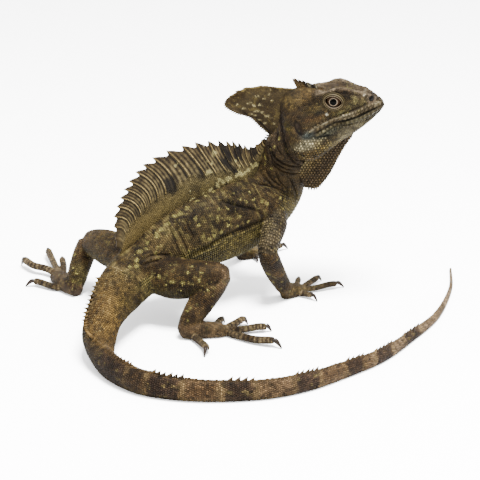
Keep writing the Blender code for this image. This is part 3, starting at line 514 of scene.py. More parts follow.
# Folds of loose hide, as the middle line of each on the body (row of the spine, angle), depth and width
FOLDS = (
    (((4.2, 0.35), (3.7, 0.5), (3.35, 0.8), (3.12, 1.2), (3.0, 1.7), (3.12, 2.14)), 0.7, 0.75),
    (((5.75, 0.57), (5.38, 0.86), (5.0, 1.05), (4.62, 1.29), (4.38, 1.57)), 0.9, 0.9),
    (((1.38, 1.0), (1.72, 1.14), (1.88, 1.57), (1.88, 2.1), (1.88, 2.57)), 1.1, 0.58),
    (((2.0, 1.3), (2.2, 1.43), (2.5, 1.57), (2.88, 1.86), (3.12, 2.28)), 0.9, 0.52),
    (((1.9, 1.71), (2.25, 2.0), (2.75, 2.14), (3.12, 2.28)), 0.8, 0.5),
    (((0.7, 0.5), (1.12, 0.71), (1.38, 1.14), (1.5, 1.57), (1.5, 2.1), (1.55, 2.8)), 1.1, 0.58),
    (((2.62, 0.71), (3.0, 1.14), (3.12, 1.57), (3.12, 1.86)), 0.5, 0.6),
    (((0.5, 1.2), (0.88, 1.43), (1.12, 1.71), (1.35, 2.14), (1.55, 2.71)), 1.1, 0.55),
    (((0.4, 0.75), (0.8, 0.9), (1.05, 1.2), (1.2, 1.6)), 0.8, 0.5),
    (((0.95, 0.45), (1.28, 0.75), (1.58, 1.15), (1.69, 1.6), (1.7, 2.2)), 0.8, 0.48),
    (((0.35, 1.9), (0.7, 2.1), (1.1, 2.4), (1.4, 2.8)), 0.9, 0.5),
    (((2.2, 0.85), (2.45, 1.15), (2.7, 1.5), (2.85, 1.75)), 0.6, 0.48),
    (((6.7, 0.43), (6.88, 0.9), (6.9, 1.43), (6.92, 1.71)), 0.5, 0.6),
    (((6.55, 0.5), (6.62, 1.0), (6.6, 1.43)), 0.35, 0.5),
    (((6.98, 0.43), (7.05, 1.0), (7.14, 1.57)), 0.4, 0.5),
    (((6.9, 1.74), (6.38, 1.7), (5.75, 1.62), (5.25, 1.6), (4.62, 1.62), (4.3, 1.62)), 0.8, 0.9),
    (((8.5, 1.25), (8.3, 1.3), (8.0, 1.4), (7.6, 1.55), (7.35, 1.65)), 0.7, 0.7),
    (((8.38, 1.08), (8.12, 1.12), (7.7, 1.25), (7.38, 1.42)), 0.5, 0.6),
    (((8.95, 1.75), (9.0, 2.05), (8.9, 2.4)), 0.6, 0.7),
)
KNEE_FOLDS = (  # the same on the legs: sleeve, line as (share of its length, angle), depth and width
    ("right_thigh", ((0.78, -1.2), (0.72, -1.75), (0.62, -2.1)), 0.7, 0.7),
    ("right_shin", ((0.8, 0.9), (0.86, 1.4), (0.9, 1.9)), 0.5, 0.6),
    ("right_forearm", ((0.04, 0.4), (0.06, -0.6), (0.05, -1.6)), 0.35, 0.6),
)


def lines_of_folds():
    """Each fold's line of points, depth and width, on both sides of the body."""
    for line, deep, wide in FOLDS:
        for way in (1, -1):
            row, angle = zip(*spline([(r, a) for r, a in line], 5))
            yield on_sleeve("body", np.array(row) * PATH_STEPS, np.array(angle) * way), deep, wide
    for name, line, deep, wide in KNEE_FOLDS:
        share, angle = zip(*spline(line, 5))
        yield on_sleeve(name, np.array(share) * (len(sleeves[name]) - 1), np.array(angle)), deep, wide


def nearest_on_line(points, line):
    """Distance from each point to a line of short steps, and the nearest place's share of it."""
    best, where = np.full(len(points), 1e9), np.zeros(len(points))
    for k, (a, b) in enumerate(zip(line, line[1:])):
        step = b - a
        t = np.clip(((points - a) @ step) / (step @ step), 0, 1)
        away = np.linalg.norm(points - a - t[:, None] * step, axis=1)
        closer = away < best
        best[closer], where[closer] = away[closer], ((k + t) / (len(line) - 1))[closer]
    return best, where


def fold_depths(points):
    """How deep a fold presses in at each point, and how much shade is painted into its bottom, from 0 to 1.
    """
    sunk, dark = np.zeros(len(points)), np.zeros(len(points))
    for line, deep, wide in lines_of_folds():
        near = np.flatnonzero(((points > line.min(0) - 3) & (points < line.max(0) + 3)).all(1))
        if not len(near):
            continue
        best, where = nearest_on_line(points[near], line)
        fade = np.sin(pi * np.clip(where, 0.03, 0.97)) ** 0.5
        trough = np.exp(-(best / wide) ** 2) * fade
        swell = np.exp(-((best - 2.1 * wide) / wide) ** 2) * fade
        sunk[near] = np.where(np.abs(deep * trough) > np.abs(sunk[near]), deep * trough, sunk[near])
        sunk[near] -= 0.3 * deep * swell
        dark[near] = np.maximum(dark[near], trough)
    return sunk, dark


# Lines of the head as (forward, up) points, with depth, width, colour and strength. A ridge has a
# depth below 0. First come the mouth, lips, eye ridge and brow, then folds of the cheek, and last the
# groove behind the head, the ear and a neck fold.
# Along the grooves the dark colours are partly the head's own and partly painted shade.
HEAD_LINES = (
    (((40.8, -0.5), (36.3, -0.2), (32.1, -0.3), (28.2, -0.4), (24, 0.0), (20.5, 0.9), (17, 1.2), (13, 0.8),
      (9.3, 0.1)), 0.6, 0.4, "#1a120c", 0.95),
    (((39.6, 1.6), (35.1, 2.6), (30.9, 2.4), (26.5, 2.5), (23.3, 2.6), (19.7, 2.7), (17.9, 2.9), (15, 2.8),
      (11.7, 2.6), (8.4, 2.2), (6.5, 1.6)), -0.3, 0.36, "#c2b79b", 0.85),
    (((39.0, 2.9), (35.1, 3.7), (30.9, 3.5), (26.5, 3.6), (23.3, 3.6), (19.7, 3.7), (16, 3.9), (11.7, 3.7),
      (7.5, 3.2)), 0.3, 0.35, "#2c2217", 0.7),
    (((39.5, -1.9), (36.8, -3.0), (32.5, -3.9), (28.7, -3.4), (24.7, -2.4), (21.1, -1.6), (17.5, -0.5)),
     0.3, 0.3, "#33291c", 0.65),
    (((17.7, 0.3), (15.5, -0.4), (10.7, -1.0), (8.6, -1.3)), -0.2, 0.35, "#b7b08c", 0.7),
    (((0.8, 1.6), (4.6, -1.0), (8, -2.2), (10.9, -2.8), (14, -3.6), (17, -5.0)), 0.55, 0.7, "#262a29", 0.8),
    (((36, 7.6), (32.5, 10.5), (28.8, 13.2), (24.9, 15.4), (21.5, 16.2), (18, 16.2), (15, 16.3)), -0.55,
     0.85, "#a08d76", 0.75),
    (((34, 7.3), (31, 9.5), (27.5, 12.0), (24.5, 13.6), (21.5, 14.4), (18, 14.4)), 0.4, 0.6, "#40322a",
     0.6),
    (((14.5, 17.2), (13.2, 15.4), (12.4, 13.4), (12.4, 11.2)), 0.4, 0.6, "#3a2e20", 0.5),
    (((-1.0, 12.0), (3.7, 12.9), (6.8, 13.4), (10.2, 13.4)), 0.45, 0.75, "#3b2f20", 0.75),
    (((-3.2, 7.5), (0.5, 9.3), (5.0, 10.6), (9.0, 11.0)), 0.2, 0.7, "#43351f", 0.4),
    (((11.5, 8.7), (13.2, 8.2), (15.0, 7.0)), 0.2, 0.8, "#1f211d", 0.75),
    (((17.2, 5.1), (18.2, 4.6)), 0.1, 0.55, "#20170f", 0.8),
    (((19.0, 5.0), (21.5, 4.4), (24, 4.6)), -0.15, 0.45, "#807c58", 0.6),
    (((30.8, 6.4), (28.6, 6.6), (26.8, 5.8), (24.6, 4.5)), -0.2, 0.4, "#85805a", 0.55),
    (((31.0, 6.2), (30.6, 7.8), (29.0, 9.2)), -0.15, 0.4, "#75714e", 0.45),
    (((-4.6, 17.0), (-5.2, 11.5), (-6.2, 5.7), (-7.0, 0.9), (-7.4, -3.4), (-6.4, -8.6), (-3.4, -12.2)), 0.9,
     0.8, "#19120d", 0.8),
    # painted shade in the rim of the ear's opening, laid near black
    (((1.9, 8.6), (0.8, 6.2), (0.9, 3.6), (1.9, 1.7), (3.3, 1.8)), 0.55, 0.5, "#0c0806", 0.98),
    (((-4.0, 3.4), (-5.4, -1.0), (-5.6, -5.6), (-4.4, -9.0)), 0.35, 0.45, "#2a2017", 0.6),
)
HEAD_SWELLS = (  # middle (forward, up), reach of each, height
    (28.5, 8.6, 4.2, 2.2, -0.7), (13.8, 15.8, 1.5, 1.6, 0.6), (7.0, 15.6, 4.6, 3.0, 0.9),
    (5.0, 8.6, 4.2, 2.4, 0.5), (12.4, 9.4, 3.0, 2.6, 0.5), (37.4, 4.9, 1.9, 1.6, 0.45),
    (3.5, -6.0, 6.5, 4.6, 0.9), (12.0, -7.2, 4.0, 2.0, 0.4), (34.8, 7.6, 0.8, 0.7, 0.35),
    (16.2, 6.0, 0.7, 0.7, 0.4),
)


def near_line(points, line):
    """Distance from each 2-D point to a smooth line, and 1 along it fading to 0 near its ends."""
    best, where = nearest_on_line(points, np.array(spline([tuple(map(float, p)) for p in line], 4)))
    return best, np.sin(pi * np.clip(where, 0.06, 0.94)) ** 0.4


def round_patch(a, b, middle, reach, sharp=1.0):
    """1 in the middle of an oval patch, falling to 0 round it, sooner where it is sharp."""
    return np.exp(-(((a - middle[0]) / reach[0]) ** 2 + ((b - middle[1]) / reach[1]) ** 2) ** sharp)


def head_relief(points):
    """How deep the head's lines and swellings press in at each point."""
    forward, out, up = head_local(points).T
    sunk = np.zeros(len(points))
    beside = (np.abs(out) > 1.2) & (np.abs(out) < 16)
    near = np.flatnonzero(beside & (forward > -11) & (forward < 43) & (up > -16) & (up < 24))
    flat = np.stack((forward[near], up[near]), 1)
    for line, deep, wide, _, _ in HEAD_LINES:
        away, share = near_line(flat, line)
        sunk[near] += deep * share * np.exp(-((away / wide) ** 2))
    for x, z, long, high, tall in HEAD_SWELLS:
        sunk[near] -= tall * round_patch(flat[:, 0], flat[:, 1], (x, z), (long, high), 1.3)
    return sunk * ease(1.2, 3.0, np.abs(out))


EAR_REACH, EAR_DEPTH = (1.4, 3.1), 1.7
NOSTRIL_REACH, NOSTRIL_DEPTH = (0.8, 0.65), 1.1
LOOSE_SPACING, LOOSE_HEIGHT = 7.0, 0.22  # soft unevenness of the body's hide
write_points(mesh, flesh)
sunk = fold_depths(flesh)[0] + head_relief(flesh)
forward, out, up = head_local(flesh).T
on_head = (forward > -7) & (forward < 43) & (np.abs(out) < 15) & (up > -14)
ear = round_patch(forward, up, (EAR[0], EAR[2]), EAR_REACH) * on_head * ease(6, 9, np.abs(out))
nostril = round_patch(forward, up, (NOSTRIL[0], NOSTRIL[2]), NOSTRIL_REACH) * on_head
nostril *= ease(1.5, 3, np.abs(out))
loose = lattice_noise(flesh, LOOSE_SPACING, 3) * LOOSE_HEIGHT * (flesh[:, 2] > 6) * (1 - on_head)
sunk = sunk + EAR_DEPTH * ear + NOSTRIL_DEPTH * nostril - loose
flesh = flesh - read(mesh, "normal") * sunk[:, None]

# Under each eyeball the hide is pressed behind it, in the shape of the open lids
local = head_local(flesh)


def lid_places(forward, up):
    """Places beside the eye along and across its opening, which slopes down towards the snout."""
    x, z = forward - EYE[0], up - EYE[2]
    return x * cos(LID_SLOPE) + z * sin(LID_SLOPE), z * cos(LID_SLOPE) - x * sin(LID_SLOPE)


long, high = lid_places(local[:, 0], local[:, 2])
open_lid = np.hypot(long / LID_OPENING[0], high / LID_OPENING[1])
seat = (open_lid < 1.2) & (np.abs(local[:, 1]) > 3) & on_head
local[seat, 1] = np.sign(local[seat, 1]) * np.minimum(np.abs(local[seat, 1]), EYE[1] + 0.7)
flesh[seat] = head_points(local[seat])
flesh[:, 2] = np.maximum(flesh[:, 2], 0.0)
write_points(mesh, flesh)
thin = hide.modifiers.new("Thin", "DECIMATE")
thin.ratio = HIDE_TRIANGLES / (2 * len(mesh.polygons))
apply_modifiers(hide)
mesh = hide.data
mesh.name = "hide"
mesh.shade_smooth()
hide_points = read(mesh, "co") / MM
hide_normals = read(mesh, "normal")
mesh.calc_loop_triangles()
hide_faces = np.empty(len(mesh.loop_triangles) * 3, np.int32)
mesh.loop_triangles.foreach_get("vertices", hide_faces)
hide_faces = hide_faces.reshape(-1, 3)
hide_tree = BVHTree.FromPolygons(hide_points.tolist(), hide_faces.tolist())


# Colours of the hide. They follow the animal: along the spine, round each leg, over the head.
def tone(text):
    """Linear colour of an sRGB hex value."""
    parts = [int(text[k:k + 2], 16) / 255 for k in (1, 3, 5)]
    return np.array([c / 12.92 if c <= 0.04045 else ((c + 0.055) / 1.055) ** 2.4 for c in parts])


def between(at, places, rows):
    """Rows of numbers at other places than theirs, each number between its two neighbours."""
    return np.stack([np.interp(at, places, column) for column in np.asarray(rows).T], -1)


def ramp(stops, value):
    """Colour along a line of (place, hex) stops."""
    return between(value, [stop[0] for stop in stops], [tone(stop[1]) for stop in stops])


def lay(colours, other, share):
    """Colours with others or one hex value laid over them, by a share for each."""
    other = tone(other) if isinstance(other, str) else other
    return colours + (other - colours) * np.asarray(share)[:, None]


ALONG_SPINE = (
    (0, "#4c4030"), (2, "#4a3d28"), (3.5, "#463924"), (6, "#4a3e28"), (7.2, "#5c4e33"), (8, "#5b4d34"),
    (9, "#67583a"), (10, "#846b42"), (11, "#826942"), (12, "#6f5a3d"), (14, "#735b42"), (16, "#7a634a"),
    (18, "#8c745a"), (21, "#a48c70"), (23, "#b3a08a"),
)
TAIL_BANDS = ((12.1, 13.3), (14.0, 14.62), (15.4, 15.85), (16.76, 17.3), (18.05, 18.43), (18.82, 19.27),
              (19.8, 20.25), (20.95, 21.2))
# Yellow spots on the body's right side, mirrored on its left: row of the spine, angle, size
BODY_SPOTS = (
    (5.62, 0.12, 1.5), (5.88, 0.15, 1.4), (6.12, 0.2, 1.6), (6.38, 0.3, 1.8), (6.62, 0.4, 1.9),
    (6.75, 0.32, 1.8), (7.0, 0.5, 2.0), (7.2, 0.55, 2.0), (7.38, 0.57, 2.2), (7.85, 0.6, 1.8),
    (8.25, 0.74, 1.8), (8.5, 0.95, 1.9), (8.05, 0.78, 1.0), (8.4, 0.7, 1.1), (8.75, 1.0, 1.7),
    (8.62, 1.14, 1.7), (6.0, 0.71, 1.1), (5.75, 0.86, 1.2), (5.88, 1.14, 1.3), (5.5, 1.29, 1.2),
    (5.12, 1.29, 1.1), (4.88, 0.86, 1.0), (4.75, 1.0, 1.1), (4.5, 1.0, 1.4), (4.25, 1.14, 1.2),
    (4.12, 1.29, 1.3), (3.38, 1.57, 1.5), (5.0, 0.57, 0.9), (4.5, 0.71, 0.9), (5.5, 1.0, 0.9),
    (5.88, 1.52, 1.5), (6.12, 1.54, 1.5), (6.25, 1.55, 1.4), (6.38, 1.43, 1.0), (6.88, 1.6, 1.1),
    (6.38, 0.86, 1.1), (5.62, 1.43, 1.2), (6.38, 1.08, 1.1), (6.12, 1.43, 1.0), (0.62, 1.0, 1.5),
    (1.0, 0.95, 1.5), (1.25, 0.86, 1.1), (1.75, 0.57, 1.7), (2.0, 0.71, 1.1), (2.0, 1.14, 1.1),
    (7.6, 0.95, 1.2), (7.9, 1.1, 1.2), (5.3, 1.5, 1.2), (4.9, 1.5, 1.1),
)
LEG_SPOTS = (  # sleeve, share of its length, angle and size, on both sides but for the left thigh
    ("thigh", 0.25, -0.73, 1.0), ("thigh", 0.44, -0.73, 1.0), ("thigh", 0.41, -1.15, 1.3),
    ("thigh", 0.53, -1.15, 0.9), ("thigh", 0.5, -1.57, 1.2), ("thigh", 0.43, -1.62, 1.1),
    ("thigh", 0.36, -1.66, 1.4), ("thigh", 0.28, -1.62, 1.8), ("thigh", 0.23, -1.8, 0.9),
    ("thigh", 0.17, -1.5, 1.5), ("thigh", 0.34, -2.05, 0.8), ("thigh", 0.6, -0.4, 1.0),
    ("shin", 0.56, 0.1, 1.3), ("shin", 0.5, 0.52, 1.1), ("shin", 0.6, -0.1, 1.2), ("shin", 0.41, 1.9, 1.0),
    ("shin", 0.31, 0.73, 1.0), ("shin", 0.7, 0.3, 1.0), ("forearm", 0.47, -3.04, 1.5),
    ("forearm", 0.34, -3.0, 1.5), ("forearm", 0.78, -1.57, 1.3), ("forearm", 0.6, -2.4, 1.1),
    ("forearm", 0.5, -1.9, 1.0),
)
HEAD_PATCHES = (  # middle (forward, up), reach of each, colour, strength
    (33.0, 8.8, 9.0, 3.6, "#534835", 0.95), (20.0, 17.5, 8.0, 2.6, "#594e3a", 0.9),
    (27.5, 6.2, 5.0, 2.4, "#5f5438", 0.9), (34.5, 4.6, 3.2, 1.6, "#6b6143", 0.7),
    (9.8, 17.0, 4.0, 2.2, "#85704a", 0.9), (1.5, 16.0, 3.6, 3.0, "#6a5a38", 0.7),
    (11.0, 10.4, 4.2, 1.9, "#6f6240", 0.85), (2.0, 10.4, 3.6, 2.0, "#35291a", 0.85),
    (8.0, 7.2, 3.6, 1.7, "#40301e", 0.85), (13.0, 5.6, 3.0, 1.2, "#58442a", 0.7),
    (20.0, 4.6, 4.0, 1.2, "#6c613a", 0.8), (26.0, 1.2, 15.0, 1.1, "#887c64", 0.9),
    (24.0, -1.8, 14.0, 1.6, "#6f6a52", 0.9), (5.0, 0.2, 3.2, 2.0, "#565e5b", 0.85),
    (12.5, -2.4, 6.0, 2.0, "#6c7062", 0.85), (25.0, -5.2, 12.0, 2.4, "#8b8266", 0.9),
    (2.5, -4.0, 7.5, 2.6, "#9a9176", 0.95), (0.5, -8.6, 7.5, 2.8, "#5f4e2f", 0.9),
    (12.0, -8.6, 7.0, 2.0, "#7a6a40", 0.75), (21.0, -7.8, 8.0, 1.2, "#a39a7c", 0.6),
    # partly painted shade in the opening of the ear: the two dark patches on the next line
    (2.3, 4.8, 1.5, 3.3, "#41362e", 0.95), (2.0, 2.6, 1.0, 1.2, "#1b1614", 0.9),
    (-6.0, 4.0, 2.4, 9.0, "#46382a", 0.8), (16.2, 6.0, 0.6, 0.6, "#e6e0cc", 0.95),
    (34.9, 7.7, 0.6, 0.5, "#d8cfba", 0.9), (-2.6, 6.8, 1.6, 2.4, "#6d6238", 0.7),
)
spot_points = [on_sleeve("body", row * PATH_STEPS, angle * way)
               for row, angle, _ in BODY_SPOTS for way in (1, -1)]
spot_sizes = [size for _, _, size in BODY_SPOTS for _ in (1, -1)]
for kind, share, angle, size in LEG_SPOTS:
    for side in ("right",) if kind == "thigh" else ("right", "left"):
        name = f"{side}_{kind}"
        turned = angle if side == "right" else -angle
        spot_points.append(on_sleeve(name, share * (len(sleeves[name]) - 1), turned))
        spot_sizes.append(size)
spot_points, spot_sizes = np.array(spot_points), np.array(spot_sizes)


def spotted(points):
    """How far inside a yellow spot each point is, from 0 to 1."""
    found = np.zeros(len(points))
    ragged = 1 + 0.7 * lattice_noise(points, 1.2, 41)
    for centre, size in zip(spot_points, spot_sizes):
        near = np.flatnonzero((np.abs(points - centre) < 2 * size).all(1))
        away = np.linalg.norm(points[near] - centre, axis=1) / (0.54 * size * ragged[near])
        found[near] = np.maximum(found[near], 1 - ease(0.75, 1.25, away))
    return found


def body_tones(row, angle, points):
    """Colours of the body at rows of the spine and angles, and how blotchy it is there."""
    side = np.abs(angle)
    colours = ramp(ALONG_SPINE, row)
    torso = ease(2.6, 3.4, row) * fade(8.7, 9.3, row)
    belly = ease(1.56, 1.72, side)
    colours = lay(colours, "#80744a", 0.92 * belly * torso)
    colours = lay(colours, "#a19a62", 0.6 * ease(2.3, 3.0, side) * torso)
    vent = ease(9, 9.4, row) * fade(9.8, 10.6, row)
    colours = lay(colours, "#655f3a", 0.35 * ease(1.4, 2.0, side) * vent)
    # Partly painted shade: the outer side of the tail's turn is laid dark, both darker hide and the shadow
    # below the ridge's spines
    outer = ease(0.06, 0.45, -angle) * ease(10.0, 11.0, row) * fade(13.4, 14.4, row)
    colours = lay(colours, "#34291c", 0.9 * outer)
    colours = lay(colours, "#655a40", 0.6 * ease(1.9, 2.6, side) * ease(12, 13, row))
    ripple = 0.05 * lattice_noise(points, 2.0, 5)
    for start, end in TAIL_BANDS:
        wobble = row + ripple * (1.6 if start < 13 else 1)
        inside = span(start, end, 0.04, wobble)
        rim = ease(start - 0.16, start - 0.05, wobble) * fade(end + 0.05, end + 0.16, wobble) - inside
        faint = 0.35 if start > 20.5 else 0.6 if start < 13 else 1.0
        colours = lay(colours, "#a38c66", 0.4 * np.clip(rim, 0, 1) * faint)
        colours = lay(colours, "#42342a", 0.88 * inside * faint)
        speck = ease(0.35, 0.6, lattice_noise(points, 1.7, 9)) * (side > 0.5)
        colours = lay(colours, "#928259", 0.5 * inside * speck)
    # Painted shade: fine wrinkles of the hide have no relief, so their shade is painted as dark lines, then
    # a second set of paler lines
    creases = ease(0.1, 0.45, lattice_noise(np.stack((row * 8.0, angle * 2.2, row * 0), 1), 1.0, 8))
    colours = lay(colours, "#2e2417", 0.6 * creases * torso * (1 - belly))
    creases = ease(0.25, 0.6, lattice_noise(np.stack((row * 11.0, angle * 4.0, row * 0), 1), 1.0, 10))
    colours = lay(colours, "#857950", 0.5 * creases * torso * (1 - belly))
    rump = ease(8.3, 9.2, row) * fade(11.2, 12.0, row)
    streaks = ease(0.05, 0.4, lattice_noise(np.stack((row * 5.5, angle * 3.0, row * 0), 1), 1.0, 6))
    colours = lay(colours, "#3f3322", 0.6 * rump * streaks)
    light = ease(0.3, 0.55, lattice_noise(np.stack((row * 12.0, angle * 9.0, row * 0), 1), 1.0, 7))
    colours = lay(colours, "#a8946a", 0.6 * rump * light * fade(0.8, 1.6, side))
    ridge = 1 - ease(0.2, 0.5, side)
    colours = lay(colours, "#6f5a3a", 0.35 * ridge * ease(9.5, 10.5, row))
    return colours, (0.4 + 0.4 * torso) * (1 - 0.75 * belly * torso)


def head_tones(points):
    """Colours of the head: patches, lines, the pale rim of each nostril and painted shade in its hollow."""
    forward, out, up = head_local(points).T
    colours = np.repeat(tone("#4b3e28")[None], len(points), 0)
    for x, z, wide, high, text, strength in HEAD_PATCHES:
        colours = lay(colours, text, strength * round_patch(forward, up, (x, z), (wide, high), 1.5))
    flat = np.stack((forward, up), 1)
    # Painted shade, in part: the dark colours of the lines along the grooves
    for line, _, wide, text, strength in HEAD_LINES:
        away, share = near_line(flat, line)
        colours = lay(colours, text, strength * share * np.exp(-((away / wide) ** 2)))
    nose = np.hypot(forward - NOSTRIL[0], up - NOSTRIL[2]) + 2 * fade(0.5, 1.2, np.abs(out))
    colours = lay(colours, "#a08f7d", 0.7 * np.exp(-(((nose - 1.75) / 0.45) ** 2)))
    # Painted shade: the hollow of each nostril is laid near black
    return lay(colours, "#120c0a", 0.97 * fade(0.95, 1.35, nose))


TOE_BANDS = 1.6  # how far apart a toe's dark bands are


def leg_tones(name, share, angle, points):
    """Colours of a leg, sole or toe at shares of its length and angles round it."""
    kind = name.split("_", 1)[1]
    if "toe" in kind:
        long = np.linalg.norm(sleeves[name][-1].mean(0) - sleeves[name][0].mean(0))
        ring = np.cos(2 * pi * share * long / TOE_BANDS) + 0.7 * lattice_noise(points, TOE_BANDS, 21)
        colours = np.repeat(tone("#87765b")[None], len(points), 0)
        colours = lay(colours, "#3e3022", 0.9 * ease(-0.4, 0.7, ring))
        return lay(colours, "#4b3c29", 0.6 * ease(1.6, 2.4, np.abs(angle)))
    stops = {
        "thigh": ((0.0, "#4c3d28"), (0.5, "#4b3c23"), (0.85, "#564530"), (1.0, "#6c5943")),
        "shin": ((0.0, "#6b5843"), (0.3, "#59482e"), (1.0, "#5b4a35")),
        "upper_arm": ((0.0, "#4a3f2a"), (0.4, "#5a503b"), (1.0, "#4e4433")),
        "forearm": ((0.0, "#433520"), (0.5, "#46361f"), (1.0, "#54442a")),
        "hind_foot": ((0.0, "#5d4b38"), (0.6, "#5f4e38"), (1.0, "#6c5a3f")),
        "hand": ((0.0, "#564833"), (1.0, "#806e4c")),
    }[kind]
    colours = ramp(stops, share)
    under = ease(1.7, 2.5, np.abs(angle))
    if kind == "thigh":
        colours = lay(colours, "#554f30", 0.7 * under)
    if name == "left_shin":
        calf = ease(-1.1, -0.5, angle) * fade(1.8, 2.4, angle) * ease(0.3, 0.55, share)
        colours = lay(colours, "#7a724a", 0.6 * calf)
    return colours


def markings(number, row, angle, points):
    """Colours of the hide at places on the sleeves: ground colour, mottle, spots, and shade painted into
    the folds.
    """
    colours = np.zeros((len(points), 3))
    blotchy = np.full(len(points), 0.7)
    for k, name in enumerate(sleeve_names):
        mine = number == k
        if not mine.any():
            continue
        if name == "body":
            colours[mine], blotchy[mine] = body_tones(row[mine] / PATH_STEPS, angle[mine], points[mine])
        elif name == "head":
            colours[mine] = head_tones(points[mine])
            blotchy[mine] = 0.62
        else:
            colours[mine] = leg_tones(name, row[mine] / (len(sleeves[name]) - 1), angle[mine], points[mine])
    coarse = lattice_noise(points, 5.5, 11) + 0.6 * lattice_noise(points, 2.4, 12)
    fine = lattice_noise(points, 1.2, 13)
    colours = lay(colours, colours * (0.34, 0.27, 0.18), blotchy * ease(0.0, 0.5, coarse))
    colours = lay(colours, colours * 2.0, blotchy * ease(0.1, 0.55, -coarse) * 0.65)
    colours = colours * (1 + 0.7 * fine)[:, None]
    flecks = ease(0.42, 0.6, lattice_noise(points, 1.0, 14))
    flecks *= ease(-0.1, 0.3, lattice_noise(points, 6.0, 15))
    colours = lay(colours, "#8d8156", 0.65 * flecks * (blotchy > 0.5))
    colours = lay(colours, "#b0a56a", 0.94 * spotted(points))
    # Painted shade: the bottom of each fold is darkened for the shade that lies in it
    return lay(colours, colours * (0.15, 0.1, 0.07), 0.94 * fold_depths(points)[1])


# Colours are laid on darker, richer and a little warmer than they look under the bright lamps
DEPTH, RICHNESS, WARMTH = 0.135, 1.16, (0.99, 0.985, 0.95)
BETWEEN_SCALES = 0.62  # the hide between scales lies in their shade


def paint(mesh, colours):
    """Stores a colour for each point of a mesh, which its material reads."""
    grey = (colours @ (0.25, 0.65, 0.1))[:, None]
    colours = DEPTH * (grey + (colours - grey) * RICHNESS) * WARMTH
    layer = mesh.attributes.new("markings", "FLOAT_COLOR", "POINT")
    full = np.ones((len(mesh.vertices), 4), np.float32)
    full[:, :3] = np.clip(colours, 0, 1)
    layer.data.foreach_set("color", full.ravel())


paint(mesh, markings(*places(hide_points), hide_points) * BETWEEN_SCALES)


# Dry hide: thin keratin over skin, matt with a faint sheen where it is stretched
def add(tree, kind, settings=(), links=()):
    """A node of this kind with its inputs or properties set and its links made."""
    node = tree.nodes.new(kind)
    for key, value in dict(settings).items():
        if key in node.inputs:
            node.inputs[key].default_value = value
        else:
            setattr(node, key, value)
    for key, source in dict(links).items():
        tree.links.new(source, node.inputs[key])
    return node


def new_material(name, rough, shine):
    """A material that is this rough and shiny, with its nodes and its shader."""
    look = bpy.data.materials.new(name)
    look.use_nodes = True
    shader = look.node_tree.nodes["Principled BSDF"]
    shader.inputs["Roughness"].default_value = rough
    shader.inputs["Specular IOR Level"].default_value = shine
    return look, look.node_tree, shader


def hide_material(name, rough, bump, grain):
    """Keratin hide that carries the markings, with pores and wrinkles this many millimetres apart."""
    look, tree, shader = new_material(name, rough, 0.04)
    place = add(tree, "ShaderNodeTexCoord")
    marks = add(tree, "ShaderNodeAttribute", {"attribute_name": "markings"})
    pores = add(tree, "ShaderNodeTexNoise", {"Scale": 1000 / grain, "Detail": 3.0},
                {"Vector": place.outputs["Object"]})
    reaches = {"From Min": 0.3, "From Max": 0.7, "To Min": 0.82, "To Max": 1.15}
    level = add(tree, "ShaderNodeMapRange", reaches,
                {"Value": pores.outputs["Fac"]})
    tint = add(tree, "ShaderNodeVectorMath", {"operation": "SCALE"},
               {0: marks.outputs["Color"], "Scale": level.outputs["Result"]})
    relief = add(tree, "ShaderNodeBump", {"Strength": bump, "Distance": grain * MM * 0.4},
                 {"Height": pores.outputs["Fac"]})
    tree.links.new(tint.outputs["Vector"], shader.inputs["Base Color"])
    tree.links.new(relief.outputs["Normal"], shader.inputs["Normal"])
    shader.inputs["IOR"].default_value = 1.5
    return look


mesh.materials.clear()
mesh.materials.append(hide_material("hide between the scales", 0.7, 0.5, 0.5))
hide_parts(*[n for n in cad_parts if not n.startswith("eye") and not n.endswith("_crest")])
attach(hide, "root")


# Sail on the back
# A fold of hide held up by long bony spines of the backbone. Each spine shows as a pale beaded ridge
# that ends in a tooth on the sail's edge, with thin dark creased hide between one and the next; its dark is
# partly the hide's own colour and partly painted shade in the creases.
SAIL_PLANE_AT = np.array((-42.0, 6.0, 0.0)) + STAND
SAIL_ALONG = np.array((0.864, 0.503, 0.0))
SAIL_SIDE = np.array((-0.503, 0.864, 0.0))
SAIL_FROM, SAIL_TO = 1.25, 9.1
# Where each ray ends, as a share of the sail's edge
RAY_TIPS = (0.022, 0.065, 0.108, 0.15, 0.19, 0.226, 0.262, 0.305, 0.36, 0.425, 0.487, 0.553, 0.622, 0.68,
            0.727, 0.77, 0.8, 0.83, 0.86, 0.895, 0.93, 0.968)
RAY_COLUMNS, SAIL_ROWS = 14, 46
SAIL_EDGE_ALONG = ((0.0, 62.6), (0.12, 54.0), (0.22, 46.0), (0.45, 23.0), (0.6, 6.0), (0.75, -7.0),
                   (0.88, -16.0), (1.0, -16.5))
SAIL_EDGE_UP = ((0.0, 76.5), (0.06, 74.0), (0.12, 73.6), (0.22, 77.4), (0.38, 80.5), (0.5, 80.0),
                (0.62, 77.2), (0.74, 71.0), (0.87, 56.0), (1.0, 38.0))


def back_point(at, above):
    """Point above the ridge of the back, at a place counted in rows of the spine."""
    place = at * PATH_STEPS
    i = min(int(place), len(body_rows) - 2)
    ends = [np.array(body_frames[k][0] + body_frames[k][3] * (body_rows[k][4] + above)) for k in (i, i + 1)]
    return mix(ends[0], ends[1], place - i) + STAND


# Which way the rays run inwards from their tips, in degrees above the line towards the head
RAY_SLOPE = ((0.0, -100), (0.1, -96), (0.2, -82), (0.26, -73), (0.305, -71), (0.36, -66), (0.425, -57),
             (0.487, -49), (0.553, -43), (0.622, -38), (0.68, -33), (0.727, -27), (0.8, -19), (0.86, -11),
             (0.93, -3), (1.0, -14))


